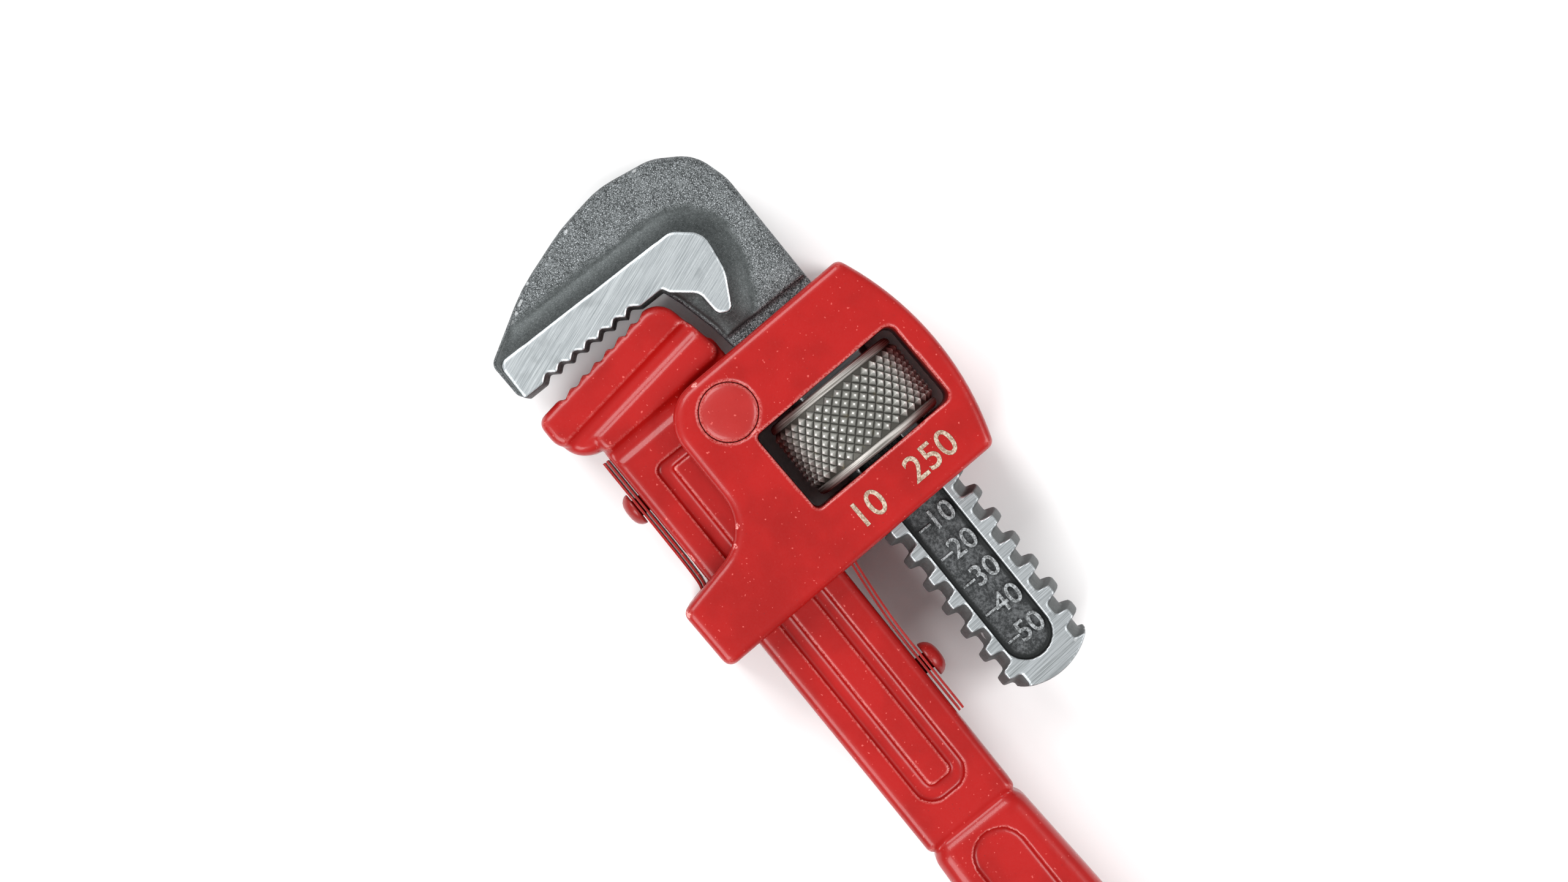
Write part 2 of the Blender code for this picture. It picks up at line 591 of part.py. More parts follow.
clear_scene()
tool = new_collection("pipe_wrench")
cutters = new_collection("cutters")
red_paint = material("red_paint", (0.60, 0.02, 0.02), 0.25, 0.0)
red_spring = material("red_spring_paint", (0.52, 0.02, 0.02), 0.3, 0.0)
forged_steel = material("forged_steel", (0.20, 0.21, 0.21), 0.6, 0.9)
nut_steel = material("nut_steel", (0.42, 0.41, 0.38), 0.4, 1.0)

pivot = empty("pivot")
housing_pivot = empty("housing_pivot", pivot)
housing_pivot.rotation_euler.z = HOUSING_LEAN
shank_line = empty("shank_line", housing_pivot)
shank_line.rotation_euler.z = -HOUSING_LEAN
nut_axis = empty("nut_axis", shank_line, (NUT_X, AXIS_Y, 0))
jaw_origin = empty("jaw_origin", shank_line)

make_handle()
make_housing()
make_pivot_rivet()
make_springs()
make_nut()
make_hook_jaw()
stand_on_origin()
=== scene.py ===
"""The finished look of a 10 inch Stillson-pattern pipe wrench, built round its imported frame.

The shapes are drawn in the tool's own millimetres: the origin is the pivot rivet's axis at
mid-thickness, +X runs up the handle to the jaws, +Y across to the open side of the mouth, and +Z
out of the face. TOOL and HOUSING turn those millimetres into the frame's metres, and every mesh is
left there, so a finished piece's object stands at the origin.
"""

import json
import math

import bmesh
import bpy
import numpy as np
from mathutils import Matrix, Vector

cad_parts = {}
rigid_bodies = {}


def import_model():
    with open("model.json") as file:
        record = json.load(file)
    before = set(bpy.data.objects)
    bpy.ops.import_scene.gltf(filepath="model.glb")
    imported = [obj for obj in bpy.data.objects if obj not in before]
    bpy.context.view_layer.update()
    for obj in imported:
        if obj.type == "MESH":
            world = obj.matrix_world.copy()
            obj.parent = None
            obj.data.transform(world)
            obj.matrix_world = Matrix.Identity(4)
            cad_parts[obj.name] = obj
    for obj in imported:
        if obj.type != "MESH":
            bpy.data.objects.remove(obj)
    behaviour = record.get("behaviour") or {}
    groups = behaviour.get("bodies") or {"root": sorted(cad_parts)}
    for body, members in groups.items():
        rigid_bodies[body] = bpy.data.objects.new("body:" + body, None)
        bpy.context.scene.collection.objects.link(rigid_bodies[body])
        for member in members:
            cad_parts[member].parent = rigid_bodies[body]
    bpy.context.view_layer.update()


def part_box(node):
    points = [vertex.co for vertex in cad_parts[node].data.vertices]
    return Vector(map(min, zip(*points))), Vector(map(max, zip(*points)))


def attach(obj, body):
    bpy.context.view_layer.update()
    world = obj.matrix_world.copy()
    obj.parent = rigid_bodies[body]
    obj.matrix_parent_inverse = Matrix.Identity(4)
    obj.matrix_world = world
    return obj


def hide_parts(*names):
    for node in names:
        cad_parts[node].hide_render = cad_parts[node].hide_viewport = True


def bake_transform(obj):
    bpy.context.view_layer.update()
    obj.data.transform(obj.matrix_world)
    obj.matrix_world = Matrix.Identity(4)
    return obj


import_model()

MM = 0.001

# Fits
GAP = 0.3            # between still pieces that bear on each other
RUN = 0.4            # between pieces that slide or turn on each other

# The thread, the nut and the shank
PITCH = 5.08
THREAD_RADIUS = 9.0
THREAD_DEPTH = 1.8
CREST_WIDTH = 1.7
FLANK_SLOPE = 0.3
AXIS_Y = -16.1       # the shank's and the nut's axis
SHANK_HALF = 5.0
SHANK_INSET = 0.45   # the plain shank's edges behind the thread's crests
SHANK_FRONT_Y = AXIS_Y + THREAD_RADIUS - SHANK_INSET
SHANK_BACK_Y = AXIS_Y - THREAD_RADIUS + SHANK_INSET
SHANK_END_X, SHANK_END_RADIUS = -69.3, 12.0
THREAD_START_X = -3.6
CHANNEL_WIDTH, CHANNEL_DEPTH = 8.9, 1.4
NUT_RADIUS = 13.1
NUT_LENGTH = 14.6
NUT_RIM_LENGTH, NUT_RIM_DROP = 1.4, 0.45
KNURL_ROUND, KNURL_ROWS = 38, 5
KNURL_DEPTH = 0.75

# The handle and its heel jaw
HANDLE_HALF = 6.2
HANDLE_CENTRE_Y, HANDLE_WIDTH = 11.1, 19.2
HANDLE_INNER_Y = HANDLE_CENTRE_Y - HANDLE_WIDTH / 2
HANDLE_OUTER_Y = HANDLE_CENTRE_Y + HANDLE_WIDTH / 2
HANDLE_TAPER = 0.4
EYE_RADIUS = 5.9
SHOULDER_X, HANDLE_END_X = -78.6, -162.9
GRIP_HALF, GRIP_SWELL = 6.7, 1.2
FIGURE_SINK = 0.9    # the middle of the grip's figures under its face
HANG_HOLE_RADIUS = 4.2
HEEL_HALF, HEEL_RIM = 8.0, 1.5
HEEL_ROOT_X, HEEL_ROOT_Y, HEEL_SLOPE = 22.9, -2.6, 0.139
MOUTH_DEPTH = 26.2
TOOTH_PITCH, TOOTH_COUNT = 2.95, 7
HEEL_TOOTH_DEPTH, HOOK_TOOTH_DEPTH = 0.85, 1.15

# The housing
LEAN = math.radians(1.5)
HOUSING_HALF = 12.3
HOUSING_TOP_X, HOUSING_FOOT_X = 7.7, -32.8
HOUSING_FRONT_Y, FRONT_WALL_Y, HOUSING_BACK_Y = 27.7, 25.1, -30.4
BACK_BULGE = 4.0
WINDOW_TOP_X, WINDOW_FOOT_X = -6.0, -22.2
WINDOW_FRONT_Y, WINDOW_BACK_Y = -0.7, -30.2
WEB_FACE_Y = -2.3
PASSAGE_RADIUS = THREAD_RADIUS + RUN

# The rivets and the leaf springs
PIVOT_RADIUS, PIVOT_HEAD_RADIUS, PIVOT_HEAD_DEPTH, PIVOT_DOME = 4.0, 5.0, 2.2, 0.35
SPRING_RIVET_RADIUS, SPRING_RIVET_DEPTH = 1.6, 8.0
SPRING_RIVETS = {"front": (-2.8, 3.0, 1.9), "rear": (-53.9, 3.3, 2.3)}  # x, head's radius and height
LEAF_THICKNESS, LEAF_WIDTH = 0.4, 8.4
LEAF_STEP = LEAF_THICKNESS + GAP

# The hook jaw
JAW_HALF, GROUND_HALF = 6.0, 8.2
JAW_TOP_X, JAW_TOOTH_X = 43.1, 23.3
FILLET_REACH = 5.2

ARC_STEP = math.radians(6)
CAST_VOXEL, FORGED_VOXEL = 0.33, 0.27
THINNED = 0.6        # the share of a skin's triangles that is kept


def box_middle(node):
    low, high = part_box(node)
    return (low + high) / 2


PIVOT = box_middle("pivot_rivet")
NUT = box_middle("adjusting_nut")
TOOL = Matrix.Translation(PIVOT) @ Matrix.Scale(MM, 4)
HOUSING = Matrix.Translation(PIVOT) @ Matrix.Rotation(LEAN, 4, "Z") @ Matrix.Scale(MM, 4)


# Making solids

def add_object(name, mesh):
    made = bpy.data.objects.new(name, mesh)
    bpy.context.scene.collection.objects.link(made)
    return made


def welded(mesh, distance=0.002):
    """Merges a mesh's doubles and turns its faces outwards. The distance is in millimetres."""
    shape = bmesh.new()
    shape.from_mesh(mesh)
    bmesh.ops.remove_doubles(shape, verts=shape.verts, dist=distance * MM)
    bmesh.ops.recalc_face_normals(shape, faces=shape.faces)
    shape.to_mesh(mesh)
    shape.free()
    return mesh


def apply_modifiers(piece):
    """Leaves a piece as the plain mesh that its modifiers make."""
    bpy.context.view_layer.update()
    evaluated = piece.evaluated_get(bpy.context.evaluated_depsgraph_get())
    old, mesh = piece.data, bpy.data.meshes.new_from_object(evaluated)
    piece.modifiers.clear()
    piece.data = mesh
    bpy.data.meshes.remove(old)
    return piece


def rounded(corners):
    """The points of an outline of (x, y, radius) corners, each rounded by an arc that has room."""
    points = []
    for i, (x, y, radius) in enumerate(corners):
        here = Vector((x, y))
        back = Vector(corners[i - 1][:2]) - here
        ahead = Vector(corners[(i + 1) % len(corners)][:2]) - here
        half = back.angle(ahead) / 2
        turn = math.pi - 2 * half
        radius = min(radius, 0.49 * min(back.length, ahead.length) * math.tan(half))
        back.normalize()
        ahead.normalize()
        if radius <= 0 or turn < 0.02:
            points.append(here)
            continue
        centre = here + (back + ahead).normalized() * radius / math.sin(half)
        start = here + back * radius / math.tan(half) - centre
        side = 1 if back.x * ahead.y - back.y * ahead.x < 0 else -1
        steps = max(2, math.ceil(turn / ARC_STEP))
        for step in range(steps + 1):
            points.append(centre + Matrix.Rotation(side * turn * step / steps, 2) @ start)
    return points


def arc(centre_x, centre_y, radius, start, end, steps):
    """Corners along an arc, from one angle in degrees to another."""
    angles = [math.radians(start + (end - start) * i / steps) for i in range(steps + 1)]
    return [(centre_x + radius * math.cos(a), centre_y + radius * math.sin(a), 0) for a in angles]


def slab(name, plane, outlines, bottom, top, rim=0.0, rim_steps=6):
    """Outlines filled between two heights, with a round rim. One inside the first is a hole."""
    curve = bpy.data.curves.new(name, "CURVE")
    curve.dimensions = "2D"
    curve.fill_mode = "BOTH"
    curve.extrude = ((top - bottom) / 2 - rim) * MM
    if rim:
        curve.bevel_depth = rim * MM
        curve.offset = -rim * MM
        curve.bevel_resolution = rim_steps - 1
    for corners in outlines:
        points = rounded(corners)
        spline = curve.splines.new("POLY")
        spline.points.add(len(points) - 1)
        for place, point in zip(spline.points, points):
            place.co = (point.x * MM, point.y * MM, 0, 1)
        spline.use_cyclic_u = True
    drawn = add_object(name, curve)
    bpy.context.view_layer.update()
    evaluated = drawn.evaluated_get(bpy.context.evaluated_depsgraph_get())
    mesh = bpy.data.meshes.new_from_object(evaluated)
    bpy.data.objects.remove(drawn)
    lift = Matrix.Translation((0, 0, (top + bottom) / 2 * MM))
    mesh.transform(plane @ Matrix.Scale(1 / MM, 4) @ lift)
    return add_object(name, welded(mesh))


def both_faces(name, plane, outlines, floor, top, rim=0.0):
    """The same slab on the tool's two faces, between two heights from mid-thickness."""
    return [slab(f"{name}_front", plane, outlines, floor, top, rim),
            slab(f"{name}_back", plane, outlines, -top, -floor, rim)]


def bar(name, plane, start, end, radius, steps=48):
    """A round bar between two points."""
    start, end = Vector(start), Vector(end)
    turn = (end - start).to_track_quat("Z", "Y").to_matrix().to_4x4()
    shape = bmesh.new()
    bmesh.ops.create_cone(
        shape, cap_ends=True, segments=steps, radius1=radius, radius2=radius,
        depth=(end - start).length, matrix=Matrix.Translation((start + end) / 2) @ turn)
    mesh = bpy.data.meshes.new(name)
    shape.to_mesh(mesh)
    shape.free()
    mesh.transform(plane)
    return add_object(name, mesh)


def turned(name, plane, profile, steps):
    """A profile of (radius, height) points turned about the plane's own Z."""
    mesh = bpy.data.meshes.new(name)
    mesh.from_pydata([(r, 0, h) for r, h in profile],
                     [(i, i + 1) for i in range(len(profile) - 1)], [])
    mesh.transform(Matrix.Scale(MM, 4))
    piece = add_object(name, mesh)
    screw = piece.modifiers.new("turn", "SCREW")
    screw.steps = screw.render_steps = steps
    screw.use_merge_vertices = True
    screw.merge_threshold = 0.005 * MM
    apply_modifiers(piece)
    welded(piece.data, 0.005)
    piece.data.transform(plane @ Matrix.Scale(1 / MM, 4))
    return piece


def threaded_bar(name, crest, root, crest_width, start, turns, steps):
    """A right-hand threaded bar along +X about the shank's axis, cut square at each end."""
    run = (crest - root) * FLANK_SLOPE
    half = crest_width / 2
    profile = [(root, PITCH - half - run), (crest, PITCH - half), (crest, PITCH + half),
               (root, PITCH + half + run), (root, 2 * PITCH - half - run)]
    mesh = bpy.data.meshes.new(name)
    mesh.from_pydata([(r * MM, 0, h * MM) for r, h in profile],
                     [(i, i + 1) for i in range(len(profile) - 1)], [])
    piece = add_object(name, mesh)
    screw = piece.modifiers.new("thread", "SCREW")
    screw.steps = screw.render_steps = steps
    screw.iterations = turns
    screw.screw_offset = PITCH * MM
    apply_modifiers(piece)
    shape = bmesh.new()
    shape.from_mesh(piece.data)
    bmesh.ops.remove_doubles(shape, verts=shape.verts, dist=0.002 * MM)
    for height, side in ((2.5 * PITCH, -1), ((turns + 0.5) * PITCH, 1)):
        everything = shape.verts[:] + shape.edges[:] + shape.faces[:]
        bmesh.ops.bisect_plane(shape, geom=everything, dist=1e-7, clear_outer=True,
                               plane_co=(0, 0, height * MM), plane_no=(0, 0, side))
    bmesh.ops.holes_fill(shape, edges=[edge for edge in shape.edges if edge.is_boundary])
    bmesh.ops.recalc_face_normals(shape, faces=shape.faces)
    # The bar's own Z becomes the tool's X, and its X stays in the plane of the tool.
    lay_down = Matrix(((0, 0, 1, 0), (1, 0, 0, 0), (0, 1, 0, 0), (0, 0, 0, 1)))
    shift = Matrix.Translation(Vector((start, AXIS_Y, 0)) * MM)
    shape.transform(TOOL @ Matrix.Scale(1 / MM, 4) @ shift @ lay_down)
    shape.to_mesh(piece.data)
    shape.free()
    return piece


def combine(target, operation, *others):
    for other in others:
        modifier = target.modifiers.new(other.name, "BOOLEAN")
        modifier.operation = operation
        modifier.object = other
    apply_modifiers(target)
    for other in others:
        bpy.data.objects.remove(other)
    return target


def cut(target, *others):
    return combine(target, "DIFFERENCE", *others)


def join(target, *others):
    return combine(target, "UNION", *others)


def as_cast(piece, voxel, passes, keep):
    """Remakes a solid as one even skin whose edges are as soft as a casting's."""
    remesh = piece.modifiers.new("skin", "REMESH")
    remesh.mode = "VOXEL"
    remesh.voxel_size = voxel * MM
    smooth = piece.modifiers.new("soften", "SMOOTH")
    smooth.factor = 0.5
    smooth.iterations = passes
    if keep < 1:
        thin = piece.modifiers.new("thin_out", "DECIMATE")
        thin.ratio = keep
    apply_modifiers(piece)
    piece.data.shade_smooth()
    return piece


def tooth_line(start, along, pitch, depth, count, steep, back):
    """A saw outline: count notches from start, along a direction, cut to one side of it."""
    along, into = Vector(along).normalized(), Vector(back).normalized()
    corners = []
    for i in range(count):
        tip = Vector(start) + along * pitch * i
        corners += [(*tip, 0), (*(tip + along * pitch * steep + into * depth), 0)]
    last = Vector(start) + along * pitch * count
    corners += [(*last, 0), (*(last - into * 4), 0), (*(Vector(start) - into * 4), 0)]
    return corners


def lettering(name, plane, text, height, place, turn, thickness):
    """Raised plain figures of a given height, by their middle."""
    curve = bpy.data.curves.new(name, "FONT")
    curve.body = text
    curve.size = height * 1.4 * MM
    curve.align_x, curve.align_y = "CENTER", "CENTER"
    curve.extrude = thickness / 2 * MM
    curve.bevel_depth = 0.06 * MM
    curve.bevel_resolution = 1
    drawn = add_object(name, curve)
    bpy.context.view_layer.update()
    evaluated = drawn.evaluated_get(bpy.context.evaluated_depsgraph_get())
    mesh = bpy.data.meshes.new_from_object(evaluated)
    bpy.data.objects.remove(drawn)
    to_place = Matrix.Translation(Vector(place) * MM) @ turn
    mesh.transform(plane @ Matrix.Scale(1 / MM, 4) @ to_place)
    return add_object(name, welded(mesh))


def merge_into_one(name, pieces):
    """One object that holds the meshes of several, which are removed."""
    shape = bmesh.new()
    for piece in pieces:
        shape.from_mesh(piece.data)
        bpy.data.objects.remove(piece)
    mesh = bpy.data.meshes.new(name)
    shape.to_mesh(mesh)
    shape.free()
    return add_object(name, mesh)


# Materials

class Socket:
    """A shader socket, on which Python's arithmetic adds Math nodes."""

    def __init__(self, finish, socket):
        self.finish, self.socket = finish, socket

    def math(self, operation, *values):
        return self.finish.node("ShaderNodeMath", {"operation": operation}, dict(enumerate(values)))

    def __add__(self, other):
        return self.math("ADD", self, other)

    def __radd__(self, other):
        return self.math("ADD", other, self)

    def __sub__(self, other):
        return self.math("SUBTRACT", self, other)

    def __rsub__(self, other):
        return self.math("SUBTRACT", other, self)

    def __mul__(self, other):
        return self.math("MULTIPLY", self, other)

    def __rmul__(self, other):
        return self.math("MULTIPLY", other, self)

    def __pow__(self, power):
        return self.math("POWER", self, power)

    def size(self):
        return self.math("ABSOLUTE", self)

    def ramp(self, low, high):
        """0 below low and 1 above high, eased between. A high under low runs the other way."""
        flip = high < low
        low, high = min(low, high), max(low, high)
        eased = self.finish.node("ShaderNodeMapRange", {"interpolation_type": "SMOOTHSTEP"},
                                 {"Value": self, "From Min": low, "From Max": high})
        return 1 - eased if flip else eased


class Finish:
    """A procedural material, with one method that makes any node."""

    def __init__(self, name, **fixed):
        self.material = bpy.data.materials.new(name)
        self.material.use_nodes = True
        self.tree = self.material.node_tree
        self.shader = self.tree.nodes["Principled BSDF"]
        for socket, value in fixed.items():
            self.shader.inputs[socket.replace("_", " ")].default_value = value
        place = self.tree.nodes.new("ShaderNodeTexCoord")
        self.place = Socket(self, place.outputs["Object"])

    def node(self, kind, settings=None, inputs=None, output=0):
        made = self.tree.nodes.new(kind)
        for setting, value in (settings or {}).items():
            setattr(made, setting, value)
        for key, value in (inputs or {}).items():
            self.feed(made.inputs[key], value)
        return Socket(self, made.outputs[output])

    def feed(self, socket, value):
        if isinstance(value, Socket):
            self.tree.links.new(value.socket, socket)
        else:
            socket.default_value = value

    def give(self, **varying):
        for socket, value in varying.items():
            self.feed(self.shader.inputs[socket.replace("_", " ")], value)
        return self.material

    def noise(self, per_mm, detail=2.0, roughness=0.5, stretch=(1, 1, 1), turn=0.0):
        """Noise with a number of bumps to the millimetre, stretched along an axis if asked."""
        place = self.node("ShaderNodeMapping", {"vector_type": "TEXTURE"}, {
            "Vector": self.place, "Rotation": (0, 0, turn), "Scale": [1 / s for s in stretch]})
        return self.node("ShaderNodeTexNoise", {}, {
            "Vector": place, "Scale": per_mm / MM, "Detail": detail, "Roughness": roughness})

    def colours(self, first, second, share):
        return self.node("ShaderNodeMix", {"data_type": "RGBA"},
                         {0: share, 6: first, 7: second}, output=2)

    def axis(self, name, origin):
        """A coordinate in the tool's millimetres, from a place on the tool."""
        axes = self.node("ShaderNodeSeparateXYZ", {}, {0: self.place}, "XYZ".index(name))
        return (axes - origin["XYZ".index(name)]) * (1 / MM)

    def edges(self, low, high):
        return self.node("ShaderNodeNewGeometry", {}, {}, "Pointiness").ramp(low, high)

    def bump(self, height, strength, depth):
        """A bump normal from a height of 0 to 1 that stands for a depth in millimetres."""
        return self.node("ShaderNodeBump", {}, {
            "Strength": strength, "Distance": depth * MM, "Height": height})


def colour(red, green, blue):
    return (red, green, blue, 1)


def red_enamel(name, body, shade, peel_depth=0.05, wear_and_sheen=0.75):
    """Gloss enamel: orange peel of a depth in millimetres, dust nibs, a pale painted highlight along
    the edges and painted shade in the creases.
    """
    finish = Finish(name, Coat_Roughness=0.12, Coat_Weight=0.2, Specular_IOR_Level=0.28)
    cloud = finish.noise(0.07, 3, 0.6)
    peel = finish.noise(0.9, 2, 0.5)
    grain = finish.noise(3.2, 2, 0.6)
    base = finish.colours(shade, body, cloud.ramp(0.3, 0.62))
    # Painted shade darkens the concave creases.
    base = finish.colours(base, colour(0.2, 0.004, 0.004), finish.edges(0.485, 0.43) * 0.8)
    # A pale painted highlight along the convex edges, broken up by the grain; the last argument sets
    # its strength.
    edge_sheen = finish.edges(0.512, 0.565) * grain.ramp(0.32, 0.6) * wear_and_sheen
    base = finish.colours(base, colour(0.86, 0.36, 0.33), edge_sheen)
    nibs = finish.noise(1.7, 1, 0.4).ramp(0.72, 0.78)
    base = finish.colours(base, colour(0.7, 0.14, 0.12), nibs * 0.5)
    specks = finish.noise(2.3, 1, 0.5).ramp(0.76, 0.8)
    base = finish.colours(base, colour(0.16, 0.01, 0.01), specks * 0.6)
    return finish.give(
        Base_Color=base, Roughness=0.24 + 0.16 * grain + 0.1 * cloud,
        Normal=finish.bump(peel * 0.75 + grain * 0.25 + nibs * 0.3, 0.6, peel_depth))


def jaw_steel():
    """Forged steel, ground bright beside the teeth and along the thread, dark where it isn't."""
    finish = Finish("hook_jaw_steel", Specular_IOR_Level=0.5)
    along, height = finish.axis("X", PIVOT), finish.axis("Z", PIVOT).size()
    scale = finish.noise(0.35, 4, 0.65)
    pits = finish.noise(2.0, 3, 0.7)
    sparks = finish.noise(4.6, 1, 0.6).ramp(0.57, 0.7)
    grit = finish.noise(5.5, 2, 0.6)
    forged = finish.colours(colour(0.03, 0.034, 0.035), colour(0.175, 0.19, 0.195),
                            (scale * 0.15 + pits * 0.35 + grit * 0.5).ramp(0.44, 0.57))
    forged = finish.colours(forged, colour(0.55, 0.58, 0.6), sparks * 0.7)
    # The fillet round the ground face is smooth, and painted shade darkens it.
    on_head = along.ramp(HOUSING_TOP_X - 1.2, HOUSING_TOP_X + 1.8)
    from_ground = finish.node("ShaderNodeAttribute", {"attribute_name": "from_ground"}, output=2)
    ragged = from_ground + (scale - 0.5) * 2.4
    fillet = ragged.ramp(FILLET_REACH, FILLET_REACH - 1.6) * on_head
    fillet = fillet * height.ramp(JAW_HALF - 0.8, JAW_HALF - 0.4)
    dark = finish.colours(colour(0.025, 0.03, 0.03), colour(0.08, 0.09, 0.09), pits)
    base = finish.colours(forged, dark, fillet * 0.85)
    # Grinding lines run across the shank, and cross the ground face at a slant.
    coarse_grit, fine_grit = (0.05, 3, 0.7, (90, 1.2, 30)), (0.05, 2, 0.6, (220, 3, 60))
    lines, fine = finish.noise(*coarse_grit, 0.06), finish.noise(*fine_grit, 0.03)
    slant = finish.noise(*coarse_grit, 0.36) * 0.6 + finish.noise(*fine_grit, 0.3) * 0.4
    wear_and_sheen = finish.noise(0.12, 3, 0.6)
    bright = finish.colours(colour(0.4, 0.44, 0.46), colour(0.78, 0.83, 0.85), slant.ramp(0.34, 0.66))
    bright = finish.colours(bright, colour(0.32, 0.35, 0.36), wear_and_sheen.ramp(0.58, 0.74) * 0.5)
    ground = height.ramp(GROUND_HALF - 0.22, GROUND_HALF - 0.1) * on_head
    base = finish.colours(base, bright, ground)
    # The thread's own crests and flanks, and the cast floor of the size channel.
    on_shank = along.ramp(THREAD_START_X + 0.4, THREAD_START_X - 0.6)
    rack_face = on_shank * height.ramp(SHANK_HALF - 0.3, SHANK_HALF - 0.1)
    flank = on_shank * (1 - rack_face)
    dull = finish.colours(colour(0.07, 0.074, 0.074), colour(0.18, 0.19, 0.19), pits)
    base = finish.colours(base, dull, flank)
    from_channel = finish.node("ShaderNodeAttribute", {"attribute_name": "from_channel"}, output=2)
    floor_band = on_shank * from_channel.ramp(0.25, 0.05)
    floor_band = floor_band * height.ramp(SHANK_HALF - 0.1, SHANK_HALF - 0.3)
    cast = finish.colours(colour(0.022, 0.024, 0.025), colour(0.12, 0.126, 0.13),
                          (scale * 0.4 + pits * 0.6).ramp(0.4, 0.66))
    # Painted shade darkens the channel's floor along its walls.
    cast = finish.colours(colour(0.014, 0.016, 0.016), cast, from_channel.ramp(-0.5, -1.3))
    base = finish.colours(base, cast, floor_band)
    brushed = finish.colours(colour(0.24, 0.26, 0.265), colour(0.5, 0.53, 0.55),
                             (lines * 0.5 + fine * 0.5).ramp(0.34, 0.66))
    base = finish.colours(base, brushed, rack_face)
    # A pale painted highlight along the convex edges, kept off the fillet and the raised ground face.
    edge_sheen = finish.edges(0.53, 0.6) * (1 - fillet)
    edge_sheen = edge_sheen * (1 - on_head * height.ramp(JAW_HALF + 0.2, JAW_HALF + 0.6))
    base = finish.colours(base, colour(0.62, 0.64, 0.65), edge_sheen * 0.6)
    # Painted shade darkens the concave creases.
    base = finish.colours(base, colour(0.03, 0.032, 0.032), finish.edges(0.47, 0.4) * 0.7)
    polished = ground + rack_face
    rough_skin = (1 - polished) * (1 - fillet) * (1 - flank * (1 - floor_band))
    relief = (scale * 0.3 + pits * 0.4 + grit * 0.3) * rough_skin
    relief = relief + (lines * 0.6 + fine * 0.4) * polished * 0.1
    return finish.give(
        Base_Color=base, Metallic=0.62 + 0.2 * polished,
        Roughness=0.56 - 0.2 * polished + 0.1 * pits - 0.1 * fillet,
        Normal=finish.bump(relief, 0.9, 0.22))


def nut_steel():
    """Bare turned steel, bright where use has rubbed the knurl's tips, with dark brown painted shade
    between its points.
    """
    finish = Finish("nut_steel", Specular_IOR_Level=0.5)
    across, height = finish.axis("Y", NUT), finish.axis("Z", NUT)
    reach = (across * across + height * height) ** 0.5
    crest = reach.ramp(NUT_RADIUS - KNURL_DEPTH * 1.1, NUT_RADIUS - 0.22)
    grime = finish.noise(0.5, 3, 0.6)
    turning = finish.noise(0.05, 3, 0.6, (160, 2, 2))
    # Painted shade darkens the knurl towards its roots, between its points.
    base = finish.colours(colour(0.045, 0.042, 0.035), colour(0.38, 0.38, 0.355), crest)
    base = finish.colours(base, colour(0.2, 0.17, 0.1), grime.ramp(0.6, 0.75) * 0.5)
    tips = reach.ramp(NUT_RADIUS - 0.14, NUT_RADIUS - 0.04)
    base = finish.colours(base, colour(0.8, 0.8, 0.77), tips * 0.8)
    rim_start = NUT_LENGTH / 2 - NUT_RIM_LENGTH
    on_rim = finish.axis("X", NUT).size().ramp(rim_start - 0.15, rim_start)
    rim = finish.colours(colour(0.15, 0.14, 0.125), colour(0.5, 0.475, 0.45), turning.ramp(0.35, 0.7))
    base = finish.colours(base, rim, on_rim)
    return finish.give(
        Base_Color=base, Metallic=0.7,
        Roughness=0.34 + 0.25 * grime + 0.08 * turning,
        Normal=finish.bump(grime * 0.5 + turning * on_rim * 0.5, 0.5, 0.05))


def raised_steel(name, low, high):
    """The rough steel of raised figures, from low to high where it is rubbed bright in patches."""
    finish = Finish(name, Specular_IOR_Level=0.5)
    patches, grit = finish.noise(1.1, 3, 0.6), finish.noise(3.4, 2, 0.6)
    return finish.give(
        Base_Color=finish.colours(low, high, (patches * 0.5 + grit * 0.5).ramp(0.4, 0.62)),
        Metallic=0.55, Roughness=0.4 + 0.2 * grit, Normal=finish.bump(grit, 0.6, 0.08))


def set_material(piece, material):
    piece.data.materials.clear()
    piece.data.materials.append(material)
    return piece


# The handle

def heel_x(y):
    """The heel jaw's tooth line, which falls away from the shank."""
    return HEEL_ROOT_X - (y - HEEL_ROOT_Y) * HEEL_SLOPE


